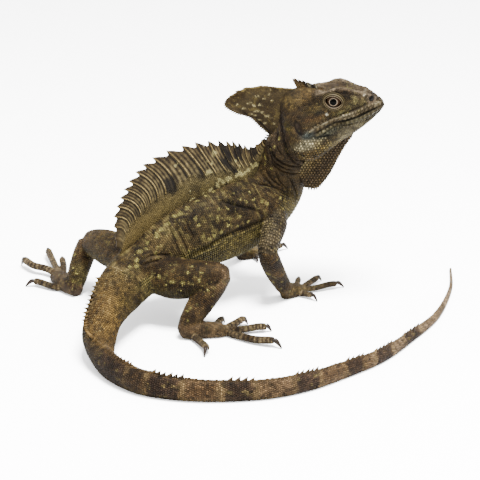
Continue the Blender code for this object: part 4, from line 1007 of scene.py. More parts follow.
def sail_line(t, notch, h):
    """Point of the sail at a share of its length and of its height: rays bend down into the back."""
    root = back_point(mix(SAIL_FROM, SAIL_TO, t + 0.06 * sin(pi * t)), -2.5)
    edge = SAIL_PLANE_AT + SAIL_ALONG * curve(SAIL_EDGE_ALONG, t) + (0, 0, curve(SAIL_EDGE_UP, t))
    slope = radians(curve(RAY_SLOPE, t))
    inward = SAIL_ALONG * cos(slope) + np.array((0, 0, sin(slope)))
    reach = np.linalg.norm(edge - root)
    bend = edge + inward * reach * 0.6
    h = h * (1 - notch)
    return root * (1 - h) ** 2 + bend * 2 * h * (1 - h) + edge * h * h


def membrane(name, middle, side, half):
    """A closed sheet with two faces. Half its thickness is given at every point of the middle grid."""
    columns, rows = middle.shape[:2]
    grids = (middle + side * half[..., None], middle - side * half[..., None])
    made = np.concatenate([grid.reshape(-1, 3) for grid in grids]).tolist()
    index = np.arange(columns * rows).reshape(columns, rows)
    corners = []
    for layer, flip in ((index, False), (index + columns * rows, True)):
        quads = np.stack((layer[:-1, :-1], layer[1:, :-1], layer[1:, 1:], layer[:-1, 1:]), -1)
        quads = quads.reshape(-1, 4)
        corners += (quads[:, ::-1] if flip else quads).tolist()
    rim = [*index[0, :], *index[1:, -1], *index[-1, -2::-1], *index[-2:0:-1, 0]]
    for a, b in zip(rim, rim[1:] + rim[:1]):
        corners.append([int(a), int(b), int(b) + columns * rows, int(a) + columns * rows])
    sheet = solid_piece(name, made, corners)
    sheet.data.shade_smooth()
    return sheet


columns = len(RAY_TIPS) * RAY_COLUMNS + 1
sail_t = np.interp(np.arange(columns) / RAY_COLUMNS, [0, *(np.arange(len(RAY_TIPS)) + 0.5), len(RAY_TIPS)],
                   [0, *RAY_TIPS, 1])
sail_place = (np.arange(columns) % RAY_COLUMNS) / RAY_COLUMNS
sail_place[-1] = 0.0
# How deep the edge is cut between one ray's tooth and the next, as a share of the height there
TOOTH = ((0, 0.06), (0.15, 0.035), (0.35, 0.01), (0.5, 0), (0.58, 0.02), (0.66, 0.07), (0.8, 0.08),
         (1, 0.06))
notches = np.interp(sail_place, *zip(*TOOTH))
notches *= np.interp(sail_t, (0, 0.2, 0.5, 0.8, 1), (0.9, 1.0, 1.0, 1.0, 0.6))
sail_h = np.linspace(0, 1, SAIL_ROWS) ** 0.9
sail_middle = np.array([[sail_line(t, notch, h) for h in sail_h] for t, notch in zip(sail_t, notches)])
ridge = np.exp(-((sail_place - 0.5) / 0.09) ** 2) * 0.42
ridge += 0.16 * (np.exp(-((sail_place - 0.22) / 0.05) ** 2) + np.exp(-((sail_place - 0.76) / 0.05) ** 2))
ridge += 0.12 * (np.exp(-((sail_place - 0.0) / 0.05) ** 2) + np.exp(-((sail_place - 1.0) / 0.05) ** 2))
thick = mix(0.62, 0.2, sail_h**0.7)
sway = lattice_noise(sail_middle.reshape(-1, 3), 9.0, 31).reshape(columns, SAIL_ROWS) * 0.5 * sail_h
sail_middle += SAIL_SIDE * sway[..., None]
# How high up the rays start to show, along the sail
RAYS_FROM = ((0.0, 0.42), (0.3, 0.42), (0.45, 0.4), (0.55, 0.45), (0.68, 0.38), (0.8, 0.44), (1.0, 0.46))
shown = ease(-0.08, 0.12, sail_h[None] - np.interp(sail_t, *zip(*RAYS_FROM))[:, None])
half_sail = thick[None] + ridge[:, None] * shown * (1 - 0.45 * sail_h[None])


# Dark bars as (start, end along the sail, low, high, strength), and pale yellow spots near its root
SAIL_BARS = ((0.272, 0.312, 0.62, 1.1, 0.92), (0.302, 0.352, 0.32, 0.74, 0.9),
             (0.182, 0.236, 0.64, 1.1, 0.88), (0.06, 0.12, 0.6, 1.1, 0.85),
             (0.612, 0.662, 0.32, 0.62, 0.88), (0.49, 0.515, 0.4, 0.62, 0.6), (0.36, 0.385, 0.28, 0.5, 0.5))
SAIL_SPOTS = ((0.12, 0.29, 1.8), (0.16, 0.34, 1.2), (0.2, 0.33, 1.7), (0.25, 0.3, 1.5), (0.29, 0.29, 2.1),
              (0.335, 0.27, 1.4), (0.38, 0.23, 1.9), (0.42, 0.18, 1.4), (0.455, 0.15, 1.7), (0.5, 0.1, 1.6),
              (0.53, 0.09, 1.3), (0.565, 0.06, 1.4), (0.255, 0.62, 1.0), (0.25, 0.5, 0.9),
              (0.46, 0.45, 1.3), (0.415, 0.6, 0.8), (0.355, 0.8, 0.8), (0.58, 0.73, 0.9))


def sail_tones(t, place, h, points):
    """Colours of the sail: t along it, place from ray to ray and h up it. Rays are pale, folds darker,
    partly with painted shade.
    """
    colours = ramp(((0.0, "#54482f"), (0.2, "#6d6140"), (0.5, "#71664a"), (1.0, "#66573d")), h)
    colours = colours * (1 + 0.4 * lattice_noise(points, 1.2, 39))[:, None]
    colours = lay(colours, "#7f6c45", 0.6 * ease(0.45, 0.9, t) * fade(0.3, 0.7, h))
    colours = lay(colours, colours * 0.45, 0.65 * ease(0.0, 0.6, lattice_noise(points, 4.0, 33)))
    wedges = ease(0.1, 0.5, lattice_noise(points * (1.0, 1.0, 0.45), 2.2, 38)) * fade(0.2, 0.36, h)
    colours = lay(colours, "#221910", 0.7 * wedges * fade(0.5, 0.66, t))
    upper = ease(-0.1, 0.12, h - np.interp(t, *zip(*RAYS_FROM)))
    stripes = np.cos(2 * pi * (place - 0.5) * 3) * (1 - 0.45 * ease(0.1, 0.3, np.abs(place - 0.5)))
    stripes = stripes + 0.5 * lattice_noise(points, 1.4, 40)
    worn = 0.6 + 0.5 * lattice_noise(points, 1.4, 37)
    rear = 1 - 0.7 * ease(0.86, 0.97, t)
    pale = ease(0.25, 0.95, stripes) * upper * worn * rear * (0.6 + 0.4 * ease(0.24, 0.36, t))
    colours = lay(colours, "#c3ac7c", 0.92 * pale)
    # Painted shade, in part: the hollows between the rays are darkened, most of all just behind each ray
    colours = lay(colours, "#21140a", 0.94 * ease(-0.1, 0.5, -stripes) * upper * rear)
    behind = np.exp(-(((place - 0.66) / 0.08) ** 2))
    colours = lay(colours, "#190e06", 0.85 * behind * upper * rear)
    colours = lay(colours, "#3a2d1f", 0.5 * ease(0.82, 1.0, h))
    for start, end, low, high, strength in SAIL_BARS:
        rough = 0.02 * lattice_noise(points, 3.0, 35)
        bar = span(start, end, 0.008, t + rough) * span(low, high, 0.05, h + rough)
        colours = lay(colours, "#16110e", strength * bar)
    yellow = np.zeros(len(points))
    ragged = 1 + 0.9 * lattice_noise(points, 1.1, 36)
    for at, high, size in SAIL_SPOTS:
        off = points - sail_line(at, 0.0, high)
        off[:, 0:2] -= np.outer(off[:, 0:2] @ SAIL_SIDE[:2], SAIL_SIDE[:2])
        distance = np.linalg.norm(off, axis=1) / size
        yellow = np.maximum(yellow, fade(0.5, 0.9, distance * ragged))
    return lay(colours, "#bdb281", 0.95 * yellow)


sail = membrane("sail", sail_middle, SAIL_SIDE, half_sail)
flat = sail_middle.reshape(-1, 3)
sail_colours = sail_tones(np.repeat(sail_t, SAIL_ROWS), np.repeat(sail_place, SAIL_ROWS),
                          np.tile(sail_h, columns), flat)
paint(sail.data, np.concatenate((sail_colours, sail_colours)))
# Hide of the sail: thin, dry and creased, a little smoother than the body's
sail.data.materials.append(hide_material("hide of the sail", 0.62, 0.4, 0.6))
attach(sail, "root")
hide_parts("back_crest")


# Crests of the head and the throat fan
# The big rounded lobe behind the head and the small leaf in front of it are cartilage under scaly
# hide, with a low saw edge. The throat fan is a loose fold of beaded hide below the jaw.
LOBE_BASE = ((6.5, 11.0), (0.0, 9.0), (-5.0, 6.5), (-9.5, 2.0))
LOBE_EDGE = ((6.0, 19.6), (-2.0, 23.4), (-9.0, 26.6), (-17.0, 28.2), (-24.0, 27.2), (-28.3, 23.6),
             (-24.6, 18.2), (-19.6, 14.4), (-16.8, 8.6), (-14.2, 3.4))
FRONT_BASE = ((18.0, 11.0), (7.2, 11.0))
FRONT_EDGE = ((17.0, 16.2), (13.6, 19.4), (9.7, 22.5), (5.8, 24.9))
THROAT_BASE = ((22.0, -6.5), (12.0, -8.0), (2.0, -11.0), (-8.0, -17.0))
THROAT_EDGE = ((22.6, -9.8), (16.9, -13.9), (11.7, -18.3), (7.0, -22.8), (2.1, -26.4), (-3.0, -28.8),
               (-8.0, -26.8))


def lengths_to(line):
    """How far along a line each of its points is."""
    return np.concatenate(([0], np.cumsum(np.linalg.norm(np.diff(line, axis=0), axis=1))))


def even_line(points, count):
    """Points spread evenly along a smooth line through (forward, up) points, and its length."""
    fine = np.array(spline(points, 12))
    far = lengths_to(fine)
    return between(np.linspace(0, far[-1], count), far, fine), far[-1]


def blade(base, edge, columns, rows, thick, tooth, depth, toothed=(0.0, 1.0)):
    """Middle grid and half thickness of a crest in the head's middle plane, with a saw edge."""
    low, _ = even_line(base, columns)
    high, length = even_line(edge, columns)
    share = np.linspace(0, 1, columns)
    saw = (share * length / tooth) % 1.0
    cut = depth * saw * span(*toothed, 0.02, share)
    h = np.linspace(0, 1, rows) ** 0.8
    flat = low[:, None] + (high - low)[:, None] * (h[None, :, None] * (1 - cut[:, None, None]))
    local = np.stack((flat[..., 0], np.zeros(flat.shape[:2]), flat[..., 1]), -1)
    half = np.tile(mix(thick[0], thick[1], h**0.7) / 2 * np.sqrt(np.clip(1.02 - h**6, 0, 1)), (columns, 1))
    return head_points(local), half, share, h


CREST_SPOTS = (  # pale flecks of the lobe: forward, up, length, height
    (-5.4, 23.4, 0.5, 0.4), (-6.5, 21.5, 0.5, 0.4), (-12.0, 22.4, 0.8, 0.35), (-12.1, 18.1, 0.9, 0.4),
    (-14.7, 18.7, 0.7, 0.4), (-16.0, 20.5, 0.6, 0.35), (-20.0, 19.3, 1.0, 0.45), (-17.1, 20.8, 0.7, 0.35),
    (-14.8, 16.1, 1.0, 0.45), (-12.7, 14.8, 0.9, 0.4), (-11.1, 12.4, 0.9, 0.5), (-9.5, 10.8, 0.6, 0.4),
    (-13.5, 9.5, 0.9, 0.5), (-15.2, 11.8, 0.8, 0.4), (-16.1, 14.5, 0.8, 0.4), (-17.6, 15.7, 0.7, 0.4),
    (-9.7, 4.4, 0.6, 0.6), (-9.3, 8.0, 0.5, 0.5), (-6.2, 18.3, 0.4, 0.5), (-9.2, 20.4, 0.5, 0.4),
    (-22.4, 22.2, 0.7, 0.4),
)


def crest_tones(points, share, h):
    """Colours of the lobe: brown, mottled, with a pale lower rim below a dark groove, its dark partly
    painted shade.
    """
    forward, _, up = head_local(points).T
    colours = ramp(((0, "#54472f"), (0.5, "#4a3e29"), (0.8, "#524630"), (1, "#615236")), h)
    low = ease(0.56, 0.66, share)
    colours = lay(colours, "#7d6d55", 0.75 * low * ease(0.76, 0.86, h))
    # Painted shade, in part: the groove pressed into the lobe is darkened
    colours = lay(colours, "#251c14", 0.85 * low * np.exp(-((h - 0.7) / 0.06) ** 2))
    blotches = ease(0.0, 0.5, lattice_noise(points, 3.5, 51))
    colours = lay(colours, colours * (0.42, 0.36, 0.28), 0.8 * blotches)
    colours = lay(colours, "#83744c", 0.6 * ease(0.25, 0.6, lattice_noise(points, 1.3, 52)))
    for x, z, wide, high in CREST_SPOTS:
        colours = lay(colours, "#cabd92", 0.95 * round_patch(forward, up, (x, z), (wide, high), 2))
    return colours


def front_tones(points, share, h):
    """Colours of the front leaf: brown, with a dark bar and pale stripes near its edge."""
    colours = ramp(((0, "#5d4f33"), (0.6, "#6b5737"), (1, "#4d3d28")), h)
    stripe = ease(0.5, 0.75, np.abs(lattice_noise(np.stack((share * 14, h * 0, h * 0), 1), 1.0, 61)))
    bar = ease(0.55, 0.7, h) * ease(0.12, 0.2, share) * fade(0.6, 0.7, share)
    colours = lay(colours, "#1e1914", 0.9 * bar)
    return lay(colours, "#a49a80", 0.6 * stripe * ease(0.7, 0.8, h))


def throat_tones(points, share, h):
    """Colours of the throat fan: dark, with a yellow-brown root at the front."""
    colours = ramp(((0, "#6d6248"), (0.25, "#4d412c"), (0.6, "#3b3023"), (1, "#483c28")), h)
    colours = lay(colours, "#8a7345", 0.75 * fade(0.12, 0.3, h) * fade(0.55, 0.8, share))
    return lay(colours, colours * 0.6, 0.5 * ease(0.1, 0.7, lattice_noise(points, 3.0, 53)))


crests = {}
for name, base, edge, size, thick, saw, toothed, tones, node, part in (
    ("lobe", LOBE_BASE, LOBE_EDGE, (120, 30), (5.0, 1.3), (1.4, 0.055), (0.0, 0.52), crest_tones,
     "head_crest", "crest_skin"),
    ("front_leaf", FRONT_BASE, FRONT_EDGE, (48, 20), (2.8, 0.8), (1.7, 0.09), (0.0, 0.86), front_tones,
     "front_crest", "crest_skin"),
    ("throat_fan", THROAT_BASE, THROAT_EDGE, (90, 30), (5.5, 1.8), (1.3, 0.02), (0.0, 1.0), throat_tones,
     None, "throat_skin"),
):
    middle, half, share, h = blade(base, edge, *size, thick, *saw, toothed)
    if name == "lobe":
        half = half - 0.35 * np.exp(-((h - 0.7) / 0.05) ** 2)[None] * ease(0.56, 0.66, share)[:, None]
    piece = membrane(name, middle, np.array(LEFT), half)
    flat = middle.reshape(-1, 3)
    colours = tones(flat, np.repeat(share, len(h)), np.tile(h, len(share)))
    paint(piece.data, np.concatenate((colours, colours)))
    # Hide of the crests and fan: tight over cartilage, with fine pores and a soft sheen
    piece.data.materials.append(hide_material(f"hide of the {name}".replace("_", " "), 0.65, 0.4, 0.6))
    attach(piece, "root")
    crests[name] = (middle, half, share, h, tones)
    if node:
        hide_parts(node)


# Eyes
# A wet ball of clear cornea over a brown iris, with a round black pupil and a pale ring round it. It
# sits in a socket of the skull, held deep behind thick lids.
EYE_RINGS = ((0, "#020202"), (22.5, "#030303"), (23.5, "#2a2220"), (24.5, "#c4b4a2"), (28.5, "#b8a58f"),
             (30.5, "#5e4a3c"), (42.0, "#4d3a2d"), (60.0, "#25160f"), (180.0, "#1a110c"))
EYE_SPOKES = 64
CORNEA_SWELL, CORNEA_EDGE = 0.035, 38  # how far the cornea bulges, and its edge in degrees
# Wet cornea over the iris: clear and smooth, so that each eye has one small sharp highlight
gloss, tree, shader = new_material("wet cornea", 0.06, 0.012)
marks = add(tree, "ShaderNodeAttribute", {"attribute_name": "markings"})
tree.links.new(marks.outputs["Color"], shader.inputs["Base Color"])
for word, way in (("left", 1), ("right", -1)):
    centre = head_points((EYE[0], EYE[1] * way, EYE[2]))
    degrees = np.concatenate((np.arange(0, 50, 1.0), np.arange(50, 181, 5.0)))
    rings = []
    for from_pupil in degrees[1:-1]:
        a = radians(from_pupil)
        radius = EYE_RADIUS * (1 + CORNEA_SWELL * max(0.0, 1 - from_pupil / CORNEA_EDGE) ** 0.5)
        spins = [2 * pi * k / EYE_SPOKES for k in range(EYE_SPOKES)]
        spokes = [(sin(a) * cos(spin), way * cos(a), sin(a) * sin(spin)) for spin in spins]
        rings.append(centre + np.array(spokes) @ HEAD_AXES * radius)
    eyeball = solid_piece(f"eyeball_{word}", *shell(np.array(rings)))
    eyeball.data.shade_smooth()
    paint(eyeball.data, ramp(EYE_RINGS, np.repeat(degrees[1:-1], EYE_SPOKES)))
    eyeball.data.materials.append(gloss)
    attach(eyeball, "root")
    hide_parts(f"eye_{word}")


# Eyelids
# Each eye looks out of rings of soft folded lid, pale on the folds and dark at its inner rim and between
# the folds, partly the lid's own colour and partly painted shade. The inner rim lies on the ball, and the
# outer one runs out into the cheek and brow.
LID_STEPS, LID_SPOKES = 30, 80
LID_OUTER = (5.3, 4.55)
# Dark stops at the inner rim and in the dips between the folds below: partly painted shade
LID_TONES = ((0.0, "#0e0a08"), (0.09, "#1a120d"), (0.16, "#75654f"), (0.27, "#857560"), (0.33, "#140e0a"),
             (0.42, "#1f1811"), (0.5, "#7a6d53"), (0.62, "#7d7056"), (0.69, "#17110c"), (0.76, "#2a2117"),
             (0.84, "#5d5239"), (1.0, "#4b4029"))
LID_FOLDS = ((0.0, 0.0), (0.08, 0.2), (0.2, 0.3), (0.3, 0.25), (0.37, -0.1), (0.5, 0.32), (0.62, 0.28),
             (0.71, -0.15), (0.84, 0.2), (0.93, 0.0), (1.0, -0.5))
bare_head, bare_faces = shell(sleeves["head"])
head_tree = BVHTree.FromPolygons(bare_head.tolist(), bare_faces)


def lid_side(forward, up):
    """How far out the lid lies: on a ball round the eye that runs out into the cheek and brow."""
    start, way = head_points((forward, -30, up)), np.array((0, 1, 0)) @ HEAD_AXES
    found = head_tree.ray_cast(Vector(start), Vector(way))[0]
    cheek = abs(head_local(np.array(found))[1]) if found else 0.0
    across = (forward - EYE[0]) ** 2 + (up - EYE[2]) ** 2
    ball = EYE[1] + max(LID_REACH**2 - across, 0.0) ** 0.5
    return float(np.log(np.exp(3 * ball) + np.exp(3 * cheek)) / 3)


for word, way in (("left", 1), ("right", -1)):
    lid_points, lid_shares = [], []
    for k in range(LID_SPOKES):
        spoke = 2 * pi * k / LID_SPOKES
        c, s = cos(spoke), sin(spoke)
        inner = (LID_OPENING[0] * c * (1 + 0.1 * abs(c) ** 6), LID_OPENING[1] * s * (1 - 0.1 * abs(c) ** 2))
        outer = (LID_OUTER[0] * c, LID_OUTER[1] * s)
        for step in range(LID_STEPS + 2):
            share = min(step / (LID_STEPS - 1), 1.0) if step < LID_STEPS else (0.9, 0.1)[step - LID_STEPS]
            long, high = mix(inner[0], outer[0], share), mix(inner[1], outer[1], share)
            forward = EYE[0] + long * cos(LID_SLOPE) - high * sin(LID_SLOPE)
            up = EYE[2] + long * sin(LID_SLOPE) + high * cos(LID_SLOPE)
            if step < LID_STEPS:
                across = (forward - EYE[0]) ** 2 + (up - EYE[2]) ** 2
                ball = EYE[1] + max(EYE_RADIUS**2 - across, 1.0) ** 0.5 + 0.1
                side = mix(ball, lid_side(forward, up), float(ease(-0.15, 0.3, share)))
                side += curve(LID_FOLDS, share)
            else:
                side = EYE[1] + 1.2
            lid_points.append(head_points((forward, side * way, up)))
            lid_shares.append(share)
    loop = LID_STEPS + 2
    index = np.arange(LID_SPOKES * loop).reshape(LID_SPOKES, loop)
    spun, stepped = np.roll(index, -1, axis=0), np.roll(index, -1, axis=1)
    corners = np.stack((index, spun, np.roll(spun, -1, axis=1), stepped), -1).reshape(-1, 4).tolist()
    lids = solid_piece(f"lids_{word}", lid_points, corners)
    lids.data.shade_smooth()
    paint(lids.data, ramp(LID_TONES, np.array(lid_shares)))
    # Lid skin: thin and supple, smoother than the hide, so its folds catch the light
    lids.data.materials.append(hide_material(f"lid skin {word}", 0.55, 0.3, 0.4))
    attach(lids, "root")


# Claws
# Each toe ends in a hooked claw of dark horn, flat at the sides. Its root is grown over the last bone
# of the toe, and its tip comes down to the floor.
HORN_TONES = (("#1c1511", 0.12), ("#54463a", 0.14))  # dark and pale streaks, with how deep each is laid
# Claw horn: grown keratin, dark brown with fine streaks and a dull polish
horn, tree, shader = new_material("claw horn", 0.3, 0.05)
place = add(tree, "ShaderNodeTexCoord")
streaks = add(tree, "ShaderNodeTexNoise", {"Scale": 900.0, "Detail": 2.0},
              {"Vector": place.outputs["Object"]})
colour = add(tree, "ShaderNodeValToRGB", {}, {"Fac": streaks.outputs["Fac"]})
for stop, (streak, depth) in zip(colour.color_ramp.elements, HORN_TONES):
    stop.color = (*tone(streak) * depth, 1)
tree.links.new(colour.outputs["Color"], shader.inputs["Base Color"])
points, corners = [], []
for back, tip, girth, ahead in claw_rows:
    knuckle = back.lerp(tip, 0.44) + Vector((0, 0, 0.9 + back.z * 0.22))  # the claw rises, then hooks down
    hook = back.lerp(tip, 0.8) + Vector((0, 0, 0.7 + back.z * 0.1))
    rows = [(*back, girth * 1.35, girth * 1.55, girth * 1.45),
            (*knuckle, girth * 1.25, girth * 1.55, girth * 1.5),
            (*hook, girth * 0.8, girth * 0.95, girth * 0.95), (tip.x, tip.y, 0.3, 0.22, 0.3, 0.3)]
    grid = tube(spline(rows, 6), 10, ahead)
    grid[..., 2] = np.maximum(grid[..., 2], 0.0)
    found, faces = shell(grid)
    corners += [[k + len(points) for k in face] for face in faces]
    points += found.tolist()
claws = solid_piece("claws", points, corners)
claws.data.shade_smooth()
claws.data.materials.append(horn)
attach(claws, "root")


# Scales of the body, legs and head
# Small hard plates of horn, each fixed by its front edge in the hide and free at the back. They are
# beads on the flanks and jaw, squares on the belly, keeled rings round the tail and plates on the toes.
# A scale's shape is its rim (along, across), how high the rim stands, and its crown (along, across, up).
BEAD = (((-0.5, 0.0), (-0.2, 0.5), (0.3, 0.46), (0.55, 0.0), (0.3, -0.46), (-0.2, -0.5)),
        (-0.5, -0.25, 0.1, 0.25, 0.1, -0.25), (0.08, 0.0, 1.0))
PLATE = (((-0.5, -0.46), (-0.52, 0.0), (-0.5, 0.46), (0.46, 0.47), (0.56, 0.0), (0.46, -0.47)),
         (-0.4, -0.3, -0.4, 0.35, 0.6, 0.35), (0.1, 0.0, 1.0))
KEELED = (((-0.55, 0.0), (-0.25, 0.5), (0.3, 0.36), (0.72, 0.0), (0.3, -0.36), (-0.25, -0.5)),
          (-0.4, -0.3, 0.1, 0.7, 0.1, -0.3), (0.15, 0.0, 1.15))


def ring_lattice(name, start, end, arc, long, wide, seed, square=False):
    """Staggered places in rings round a sleeve: points, way along, rows, angles, lengths, widths."""
    grid = sleeves[name]
    count, sides = grid.shape[:2]
    far = lengths_to(grid.mean(1))
    rng = np.random.default_rng(seed)
    at, stop = np.interp((start, end), np.arange(count), far)
    found, number = [], 0
    while at < stop:
        row = np.interp(at, far, np.arange(count))
        pitch = long(row / (count - 1)) if callable(long) else long
        width = wide(row / (count - 1)) if callable(wide) else wide
        i = min(int(row), count - 2)
        ring = mix(grid[i], grid[i + 1], row - i)
        steps = np.linalg.norm(np.roll(ring, -1, axis=0) - ring, axis=1)
        edge = np.concatenate(([0], np.cumsum(steps)))
        turn_at = (np.array(arc) + pi / 2) / (2 * pi) * sides
        lap = edge[-1]
        low, high = [np.interp(t % sides, np.arange(sides + 1), edge) + lap * (t // sides) for t in turn_at]
        many = max(3, int(round((high - low) / width)))
        stagger = 0.0 if square else 0.5 * (number % 2)
        places_round = low + (np.arange(many) + stagger + 0.25) / many * (high - low)
        jitter = 0.0 if square else 0.12
        places_round = places_round + rng.uniform(-jitter, jitter, many) * width
        j = np.interp(places_round % lap, edge, np.arange(sides + 1))
        angle = (2 * pi * j / sides - pi / 2 + pi) % (2 * pi) - pi
        rows = row + rng.uniform(-jitter, jitter, many) * pitch / max(far[i + 1] - far[i], 1e-6)
        spread = (high - low) / many
        rows = np.clip(rows, 0, count - 1.01)
        found.append(np.stack((rows, angle, angle * 0 + pitch, angle * 0 + spread), 1))
        at += pitch * 0.93
        number += 1
    rows, angles, lengths, widths = np.concatenate(found).T
    before, after = np.maximum(rows - 0.4, 0), np.minimum(rows + 0.4, count - 1.01)
    along = on_sleeve(name, after, angles) - on_sleeve(name, before, angles)
    return on_sleeve(name, rows, angles), along, rows, angles, lengths, widths


def settle(points, limit, own=None):
    """Where roots meet the hide, the hide's normals there, and which roots stay."""
    near, normal, stay = points.copy(), np.zeros_like(points), np.zeros(len(points), bool)
    for k, point in enumerate(points):
        place, _, face, away = hide_tree.find_nearest(Vector(point))
        if place is None or away > limit:
            continue
        if own is not None and sample_of[finder.find(place)[1]][0] != own:
            continue
        near[k], stay[k] = place, True
        a, b, c = hide_faces[face]
        normal[k] = hide_normals[a] + hide_normals[b] + hide_normals[c]
    return near, normal, stay


ROOT_DEPTH = 1.6  # how far a scale's root goes down, as a share of its height


def scale_points(shape, roots, along, normals, lengths, widths, lift, seed):
    """Eight points for each scale: six round its rim, its crown and the point of its root."""
    rim, rise, crown = shape
    rng = np.random.default_rng(seed)
    normals = normals / np.linalg.norm(normals, axis=1)[:, None]
    along = along - normals * (along * normals).sum(1)[:, None]
    along /= np.linalg.norm(along, axis=1)[:, None] + 1e-9
    across = np.cross(normals, along)
    twist = rng.uniform(-0.1, 0.1, len(roots))[:, None]
    ahead, aside = along * np.cos(twist), across * np.cos(twist)
    along, across = ahead + across * np.sin(twist), aside - along * np.sin(twist)
    size = rng.uniform(0.9, 1.08, len(roots))
    x = np.array([p[0] for p in rim] + [crown[0], 0.1])
    y = np.array([p[1] for p in rim] + [crown[1], 0.0])
    z = np.array(list(rise) + [crown[2], -ROOT_DEPTH])
    made = (roots[:, None] + along[:, None] * (x[None] * (lengths * size)[:, None])[..., None]
            + across[:, None] * (y[None] * (widths * size)[:, None])[..., None]
            + normals[:, None] * (z[None] * (lift * size)[:, None])[..., None])
    made[..., 2] = np.maximum(made[..., 2], 0.0)
    return made, x, y


def shades(contrast, round_rim=(1, 1, 1, 1, 1, 1)):
    """Brightness of a scale's eight points: round its rim, on its crown and at its root. The darker rim and
    root are painted shade between the scales; the paler crown is partly the scale's own colour and partly a
    painted highlight.
    """
    rim, top = contrast
    return np.array([*(rim * share for share in round_rim), top, rim * 0.6])


PATCH = 0.0015  # half the width of a scale's own patch on the unwrap


def patches(u, v, x, y):
    """Each scale's own small patch of the unwrap, at its root's place."""
    return np.stack((u[:, None] + PATCH * y[None], v[:, None] + PATCH * x[None]), -1)


def on_unwrap(number, cells, across, along):
    """Place on the unwrap in one of its square cells, from shares across and along a surface."""
    wide = int(np.ceil(cells**0.5))
    return (number % wide + 0.02 + 0.96 * across) / wide, (number // wide + 0.02 + 0.96 * along) / wide


def coat(name, batches, look):
    """One piece of scales from batches of points, colours and places on an unwrap."""
    made = np.concatenate([b[0].reshape(-1, 3) for b in batches])
    colours = np.concatenate([b[1].reshape(-1, 3) for b in batches])
    unwrapped = np.concatenate([b[2].reshape(-1, 2) for b in batches])
    count = len(made) // 8
    faces = np.array([(6, k, (k + 1) % 6) for k in range(6)] + [(7, (k + 1) % 6, k) for k in range(6)])
    if np.dot(np.cross(made[0] - made[6], made[1] - made[6]), made[6] - made[7]) < 0:
        faces = faces[:, ::-1]
    corners = (faces[None] + 8 * np.arange(count)[:, None, None]).reshape(-1, 3)
    mesh = bpy.data.meshes.new(name)
    mesh.vertices.add(len(made))
    mesh.vertices.foreach_set("co", (made * MM).astype(np.float32).ravel())
    mesh.loops.add(corners.size)
    mesh.loops.foreach_set("vertex_index", corners.astype(np.int32).ravel())
    mesh.polygons.add(len(corners))
    mesh.polygons.foreach_set("loop_start", np.arange(0, corners.size, 3, dtype=np.int32))
    mesh.polygons.foreach_set("loop_total", np.full(len(corners), 3, np.int32))
    mesh.update(calc_edges=True)
    mesh.validate()
    mesh.shade_smooth()
    unwrap = mesh.uv_layers.new(name="OFBake")
    unwrap.data.foreach_set("uv", unwrapped[corners.ravel()].astype(np.float32).ravel())
    paint(mesh, colours)
    mesh.materials.append(look)
    piece = add_object(name, mesh)
    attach(piece, "root")


def sleeve_scales(name, start, end, arc, long, wide, lift, shape, contrast, seed, square=False, keep=None,
                  cell=(0, 1), limit=1.0):
    """A batch of scales on a sleeve between two shares of its length and two angles."""
    last = len(sleeves[name]) - 1
    lattice = ring_lattice(name, start * last, end * last, arc, long, wide, seed, square)
    if keep is not None:
        stay = keep(lattice[0])
        lattice = [values[stay] for values in lattice]
    own = sleeve_names.index(name)
    roots, normals, stay = settle(lattice[0], limit, own)
    roots, normals = roots[stay], normals[stay]
    along, rows, angles, lengths, widths = [values[stay] for values in lattice[1:]]
    tall = np.full(len(roots), lift)
    made, x, y = scale_points(shape, roots, along, normals, lengths, widths, tall, seed)
    colours = markings(np.full(len(roots), own), rows, angles, roots)
    uneven = np.random.default_rng(seed + 1).uniform(0.5, 1.54, len(roots))
    shade = shades(contrast, (1, 0.95, 1.05, 1.1, 1.05, 0.95))[None] * uneven[:, None]
    u, v = on_unwrap(*cell, (angles + pi) / (2 * pi), rows / last)
    return made, colours[:, None] * shade[..., None], patches(u, v, x, y)


def rounds(row):
    """Share of the body's length at a row of the spine."""
    return row * PATH_STEPS / (len(sleeves["body"]) - 1)


ALL_ROUND = (-pi, pi)
FLANK = 1.62
BELLY = (FLANK, 2 * pi - FLANK)
# Horn of the scales: keratin in the hide's own colours, a little smoother, with a fine grain
horny = hide_material("horn of the scales", 0.55, 0.35, 0.25)
for name, start, end, arc, long, wide, lift, shape, contrast, seed in (
    ("neck", 0, rounds(3.2), ALL_ROUND, 0.95, 0.9, 0.26, BEAD, (0.6, 1.2), 101),
    ("back", rounds(3.2), rounds(9.3), (-FLANK, FLANK), 0.9, 0.88, 0.24, BEAD, (0.6, 1.2), 102),
    ("belly", rounds(3.2), rounds(8.9), BELLY, 1.25, 1.2, 0.22, PLATE, (0.35, 1.25), 103),
    ("tail", rounds(9.0), 1.0, ALL_ROUND, lambda s: 1.45 - 0.6 * s, lambda s: 1.3 - 0.6 * s, 0.32, KEELED,
     (0.45, 1.35), 104),
):
    batch = sleeve_scales("body", start, end, arc, long, wide, lift, shape, contrast, seed, name == "belly")
    coat(f"scales_{name}", [batch], horny)


def jaw_area(points):
    """The round of large beads at the corner of the jaw."""
    forward, _, up = head_local(points).T
    return round_patch(forward, up, (3.5, -6.2), (9.3, 5.0), 2) > 0.4


def bare_area(points):
    """The lids, nostrils, ears and the line of the mouth, where there are no scales."""
    forward, out, up = head_local(points).T
    long, high = lid_places(forward, up)
    lids = np.hypot(long / (LID_OUTER[0] + 0.1), high / (LID_OUTER[1] + 0.1)) < 1
    nose = np.hypot(forward - NOSTRIL[0], up - NOSTRIL[2]) < 1.4
    ear_hole = np.hypot((forward - EAR[0]) / 1.5, (up - EAR[2]) / 3.2) < 1
    flat = np.stack((forward, up), 1)
    lips = np.abs(near_line(flat, HEAD_LINES[0][0])[0]) < 0.5
    return (lids | nose | ear_hole | lips) & (np.abs(out) > 1.5)


